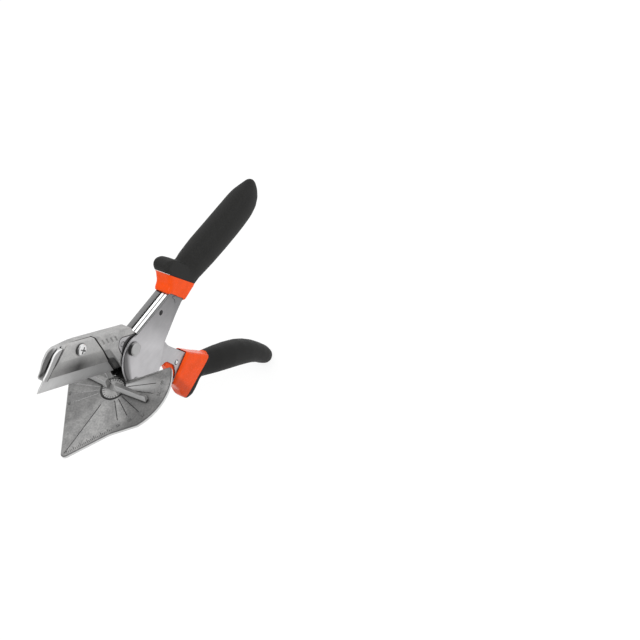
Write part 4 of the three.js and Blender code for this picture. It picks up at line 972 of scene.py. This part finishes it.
class SHEAR_OT_upper_channel(bpy.types.Operator):
    """Make the pressed channel that carries the table, with its polished back"""
    bl_idname = "shear.upper_channel"
    bl_label = "Upper Channel"

    def execute(self, context):
        eased_piece("upper_channel", upper_sheet(), context.scene.shear_edges.sheet, nearest=0.02 * MM)
        self.crown()
        self.crease()
        return {"FINISHED"}

    def top(self, x):
        """The height of the channel's back in millimetres. It falls by 4.9 mm over its 115.4 mm."""
        return 21.5 - 4.9 * (x - 34.6) / 115.4

    def crown(self):
        """The channel's polished back, with the two lines that the press leaves along it."""
        start, end = 34.7, 73.0
        # From the far to the near side: how far a point lies off the middle, and above the back.
        across = [
            (5.85, -1), (5.8, -0.15), (5.5, 0.2), (1.2, 0.25), (1, 0.05), (0, 0.05), (-0.3, 0.3),
            (-2.2, 0.3), (-2.4, 0.05), (-2.8, 0.05), (-3, 0.3), (-5.2, 0.24), (-5.7, -0.1), (-5.85, -0.9),
            (-5.4, -1), (5.4, -1.2),
        ]
        outline = [mm(start, y, self.top(start) + z) for y, z in across]
        bm = drawn_out(outline, mm(end - start, 0, self.top(end) - self.top(start)))
        ends = [e for e in bm.edges if all(v.co.x < (start + 1) * MM for v in e.verts)]
        ease(bm, ends, 0.08 * MM, 1)
        piece("channel_crown", bm, polished_sheet(), "upper_channel", extra=True, smooth=30)

    def crease(self):
        """The short pressed crease on the near side plate, where it enters the collar."""
        plate, height = -5.88, 0.35
        line = [(72.4, 15.6), (73.2, 12.4), (72.0, 8.6), (74.6, 10.2), (75.6, 13.4)]
        bm = drawn_out([mm(x, plate, z) for x, z in line], mm(0, -height, 0))
        ease(bm, sharp_edges(bm, 30), 0.12 * MM, 2)
        piece("channel_crease", bm, upper_sheet(), "upper_channel", extra=True)


class SHEAR_OT_pivot(bpy.types.Operator):
    """Make the pivot, the rivets of both channels and the stop pin"""
    bl_idname = "shear.pivot"
    bl_label = "Pivot and Rivets"

    def execute(self, context):
        width = context.scene.shear_edges.fitting
        for node in ("pivot_bolt", "pivot_washer", "pivot_spacer"):
            eased_piece(node, dull_fitting(), width)
        piece("pivot_nut_dressed", merged("pivot_nut"), dull_fitting(), "pivot_nut")
        for node in ("table_rivet_1", "table_rivet_2"):
            eased_piece(node, dull_fitting(), width * 0.5, least=40)
        for node in ("head_rivet_1", "head_rivet_2"):
            eased_piece(node, lower_sheet(), width * 0.5, least=40)
        eased_piece("stop_pin", bright_fitting(), width * 0.5, least=40)
        return {"FINISHED"}


class SHEAR_OT_spring(bpy.types.Operator):
    """Wind the return spring round the pivot"""
    bl_idname = "shear.spring"
    bl_label = "Return Spring"

    def execute(self, context):
        # The wire's thickness, the coil's radius and its half width, and from the pivot
        # the ends of the two legs, which leave the coil straight, all in millimetres.
        wire, coil, half = 1.1, 5.2, 2.05
        upper = Vector((30.0, 2.841))
        lower = Vector((8.796, -18.887))
        first = math.atan2(upper.y, upper.x) - math.acos(coil / upper.length)
        last = math.atan2(lower.y, lower.x) + math.acos(coil / lower.length) + 4 * math.pi
        count = round((last - first) / (2 * math.pi) * context.scene.shear_edges.turn)
        points = [(upper.x, -half, upper.y)]
        for k in range(count + 1):
            angle = first + (last - first) * k / count
            points.append((coil * math.cos(angle), -half + 2 * half * k / count, coil * math.sin(angle)))
        points.append((lower.x, half, lower.y))
        curve = bpy.data.curves.new("return_spring_line", "CURVE")
        curve.dimensions = "3D"
        curve.bevel_depth = wire / 2 * MM
        curve.bevel_resolution = 4
        curve.use_fill_caps = True
        line = curve.splines.new("POLY")
        line.points.add(len(points) - 1)
        for spot, point in zip(line.points, points):
            spot.co = (*(PIVOT + mm(*point)), 1)
        bm = applied(placed("spring_line", curve))
        bmesh.ops.remove_doubles(bm, verts=bm.verts, dist=0.002 * MM)
        bmesh.ops.recalc_face_normals(bm, faces=bm.faces)
        piece("return_spring_wound", bm, spring_wire(), "return_spring", weighted=False)
        return {"FINISHED"}


# Pieces of the blade unit


class SHEAR_OT_head(bpy.types.Operator):
    """Make the cast head, the blade, the clamp plate and its screw"""
    bl_idname = "shear.head"
    bl_label = "Blade Head"

    def execute(self, context):
        edges = context.scene.shear_edges
        self.cast_body(edges.skin)
        eased_piece("blade", ground_blade(), 0.03 * MM, 1, least=40)
        self.clamp(edges.cast)
        eased_piece("clamp_screw", bright_fitting(), edges.fitting * 0.5, nearest=0.1 * MM)
        return {"FINISHED"}

    def cast_body(self, voxel):
        """The cast body, with its edges worn soft. Its skin is laid square to the blade."""
        bm = merged("blade_head")
        bmesh.ops.transform(bm, matrix=OPENED.inverted(), verts=bm.verts)
        bm = remeshed(bm, voxel)
        smoothed(bm, bm.verts, 6)
        bmesh.ops.transform(bm, matrix=OPENED, verts=bm.verts)
        piece("blade_head_dressed", bm, cast_head_metal(), "blade_head", smooth=60, weighted=False)

    def clamp(self, width):
        """The clamp plate, with the dent in its upper front corner."""
        bm = tidied(merged("clamp_plate"), 0.02 * MM)
        ease(bm, sharp_edges(bm, 25), width)
        dent = bmesh.new()
        bmesh.ops.create_icosphere(dent, subdivisions=4, radius=2.3 * MM)
        bmesh.ops.scale(dent, vec=(1.0, 0.85, 0.45), verts=dent.verts)
        corner = OPENED @ Matrix.Translation(mm(-58.8, -3.2, 14.9))
        bmesh.ops.transform(dent, matrix=corner, verts=dent.verts)
        piece("clamp_plate_dressed", carved(bm, dent), cast_clamp_metal(), "clamp_plate")


class SHEAR_OT_lower_channel(bpy.types.Operator):
    """Make the pressed channel of the lower handle"""
    bl_idname = "shear.lower_channel"
    bl_label = "Lower Channel"

    def execute(self, context):
        eased_piece("lower_channel", lower_sheet(), context.scene.shear_edges.sheet, nearest=0.02 * MM)
        return {"FINISHED"}


# Handles


def handle(collar, grip, place, normal, keep):
    """Blends a collar and its grip into one smooth form, and parts them again along their joint.
    Where keep(place) is true, nothing is smoothed."""
    bm = merged(collar, grip)
    # The two faces at the joint are pushed past each other, so that one skin covers both pieces.
    for vert in bm.verts:
        off = (vert.co - place).dot(normal)
        if abs(off) < 0.2 * MM:
            vert.co += normal * (0.45 * MM if off < 0 else -0.45 * MM)
    bm = remeshed(bm, bpy.context.scene.shear_edges.shell)
    smoothed(bm, [v for v in bm.verts if not keep(v.co)], 14)
    half_gap = 0.13 * MM
    for node, side in ((collar, -1), (grip, 1)):
        half = bm.copy()
        bmesh.ops.bisect_plane(
            half, geom=half.verts[:] + half.edges[:] + half.faces[:],
            plane_co=place + normal * side * half_gap, plane_no=normal * -side, clear_outer=True,
        )
        loose = [e for e in half.edges if e.is_boundary]
        bmesh.ops.triangle_fill(half, use_beauty=True, edges=loose, normal=normal * -side)
        finish = orange_shell() if side < 0 else black_grip()
        piece(f"{node}_moulded", half, finish, node, smooth=45, weighted=False)
    bm.free()


class SHEAR_OT_upper_handle(bpy.types.Operator):
    """Mould the collar and the grip of the upper handle"""
    bl_idname = "shear.upper_handle"
    bl_label = "Upper Handle"

    def execute(self, context):
        handle("upper_collar", "upper_grip", UPPER_JOINT, UPPER_NORMAL, self.in_slot)
        return {"FINISHED"}

    def in_slot(self, place):
        """Whether a point lies in the tang's slot."""
        return abs(place.y) < 6.35 * MM and 4.2 * MM < place.z < 21.8 * MM and place.x < 152 * MM


class SHEAR_OT_lower_handle(bpy.types.Operator):
    """Mould the collar and the grip of the lower handle"""
    bl_idname = "shear.lower_handle"
    bl_label = "Lower Handle"

    def execute(self, context):
        handle("lower_collar", "lower_grip", LOWER_JOINT, LOWER_NORMAL, self.in_slot)
        return {"FINISHED"}

    def in_slot(self, place):
        """Whether a point lies in the tang's slot."""
        closed = OPENED.inverted() @ place
        return abs(closed.y) < 4.7 * MM and -39 * MM < closed.z < -16 * MM and closed.x < 134 * MM


# Stage


def seen_rays(tree):
    """Full for the camera's rays, and for mirrored and bent ones."""
    rays = add(tree, "LightPath").outputs
    mirrored = calc("MAXIMUM", rays["Is Glossy Ray"], rays["Is Transmission Ray"])
    return calc("MAXIMUM", rays["Is Camera Ray"], mirrored)


class SHEAR_OT_stage(bpy.types.Operator):
    """Set up the floor, the lights and the camera"""
    bl_idname = "shear.stage"
    bl_label = "Stage"

    def execute(self, context):
        look = context.scene.shear_stage
        scene = context.scene
        scene.view_settings.view_transform = "Standard"
        self.camera(scene, look.lens)
        self.floor()
        self.lights(look)
        self.world(scene, look.ambient)
        return {"FINISHED"}

    def camera(self, scene, lens):
        data = bpy.data.cameras.new("camera")
        data.lens = lens
        data.sensor_width = 36
        data.clip_start, data.clip_end = 0.05, 20
        made = placed("camera", data)
        # Fitted to the photograph: the picture's right and up, and the camera's place.
        right = Vector((0.5145, -0.8193, -0.2531))
        up = Vector((0.7534, 0.2910, 0.5896))
        back = right.cross(up).normalized()
        axes = Matrix((right.normalized(), up.normalized(), back)).transposed()
        made.matrix_world = Matrix.Translation(mm(-225.53, -502.42, 614.54)) @ axes.to_4x4()
        scene.camera = made

    def floor(self):
        bm = bmesh.new()
        bmesh.ops.create_grid(bm, x_segments=1, y_segments=1, size=6)
        bmesh.ops.translate(bm, verts=bm.verts, vec=(0, 0, CAD_BOX[0].z - 0.5 * MM))
        mesh = mesh_of("floor", bm)
        paper = bpy.data.materials.new("paper")
        paper.use_nodes = True
        tree = paper.node_tree
        tree.nodes.clear()
        lit = add(tree, "BsdfDiffuse", {"Color": (0.25, 0.25, 0.25, 1)}).outputs[0]
        glow = add(tree, "Emission", {"Color": (1, 1, 1, 1), "Strength": 0.8}).outputs[0]
        shown = add(tree, "AddShader", {0: lit, 1: glow}).outputs[0]
        plain = add(tree, "BsdfDiffuse", {"Color": (0.8, 0.8, 0.8, 1)}).outputs[0]
        choice = add(tree, "MixShader", {0: seen_rays(tree), 1: plain, 2: shown}).outputs[0]
        add(tree, "OutputMaterial", {"Surface": choice})
        mesh.materials.append(paper)
        made = placed("floor", mesh)

    def lights(self, look):
        for name, place, power, size in [
            ("key", (-0.45, -0.35, 0.75), look.key, 0.35),
            ("side", (0.7, -0.75, 0.45), look.key * 0.5, 0.5),
            ("rear", (0.35, 0.8, 0.6), look.key * 0.5, 0.5),
        ]:
            data = bpy.data.lights.new(name, "AREA")
            data.energy = power
            data.size = size
            made = placed(name, data)
            made.location = place
            made.rotation_euler = (Vector(place) - mm(40, 0, 0)).to_track_quat("Z", "Y").to_euler()

    def world(self, scene, ambient):
        world = bpy.data.worlds.new("studio")
        world.use_nodes = True
        scene.world = world
        tree = world.node_tree
        tree.nodes.clear()
        soft = add(tree, "Background", {"Color": (1, 1, 1, 1), "Strength": ambient}).outputs[0]
        white = add(tree, "Background", {"Color": (1, 1, 1, 1), "Strength": 1.0}).outputs[0]
        choice = add(tree, "MixShader", {0: seen_rays(tree), 1: soft, 2: white}).outputs[0]
        add(tree, "OutputWorld", {"Surface": choice})


OPERATORS = (
    SHEAR_OT_fan_table,
    SHEAR_OT_fence,
    SHEAR_OT_upper_channel,
    SHEAR_OT_pivot,
    SHEAR_OT_spring,
    SHEAR_OT_head,
    SHEAR_OT_lower_channel,
    SHEAR_OT_upper_handle,
    SHEAR_OT_lower_handle,
    SHEAR_OT_stage,
)


class SHEAR_PT_panel(bpy.types.Panel):
    """Lists the steps that dress the shears"""
    bl_idname = "SHEAR_PT_panel"
    bl_label = "Mitre Shears"
    bl_space_type = "VIEW_3D"
    bl_region_type = "UI"
    bl_category = "Shears"

    def draw(self, context):
        for group in (context.scene.shear_edges, context.scene.shear_finish, context.scene.shear_stage):
            box = self.layout.box()
            for key in group.__annotations__:
                box.prop(group, key)
        for operator in OPERATORS:
            self.layout.operator(operator.bl_idname)


CLASSES = (ShearEdges, ShearFinish, ShearStage, *OPERATORS, SHEAR_PT_panel)


def register():
    for cls in CLASSES:
        bpy.utils.register_class(cls)
    bpy.types.Scene.shear_edges = PointerProperty(type=ShearEdges)
    bpy.types.Scene.shear_finish = PointerProperty(type=ShearFinish)
    bpy.types.Scene.shear_stage = PointerProperty(type=ShearStage)


def unregister():
    del bpy.types.Scene.shear_stage
    del bpy.types.Scene.shear_finish
    del bpy.types.Scene.shear_edges
    for cls in reversed(CLASSES):
        bpy.utils.unregister_class(cls)


def main():
    register()
    for operator in OPERATORS:
        group, name = operator.bl_idname.split(".")
        getattr(getattr(bpy.ops, group), name)()
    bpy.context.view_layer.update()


if __name__ == "__main__":
    main()
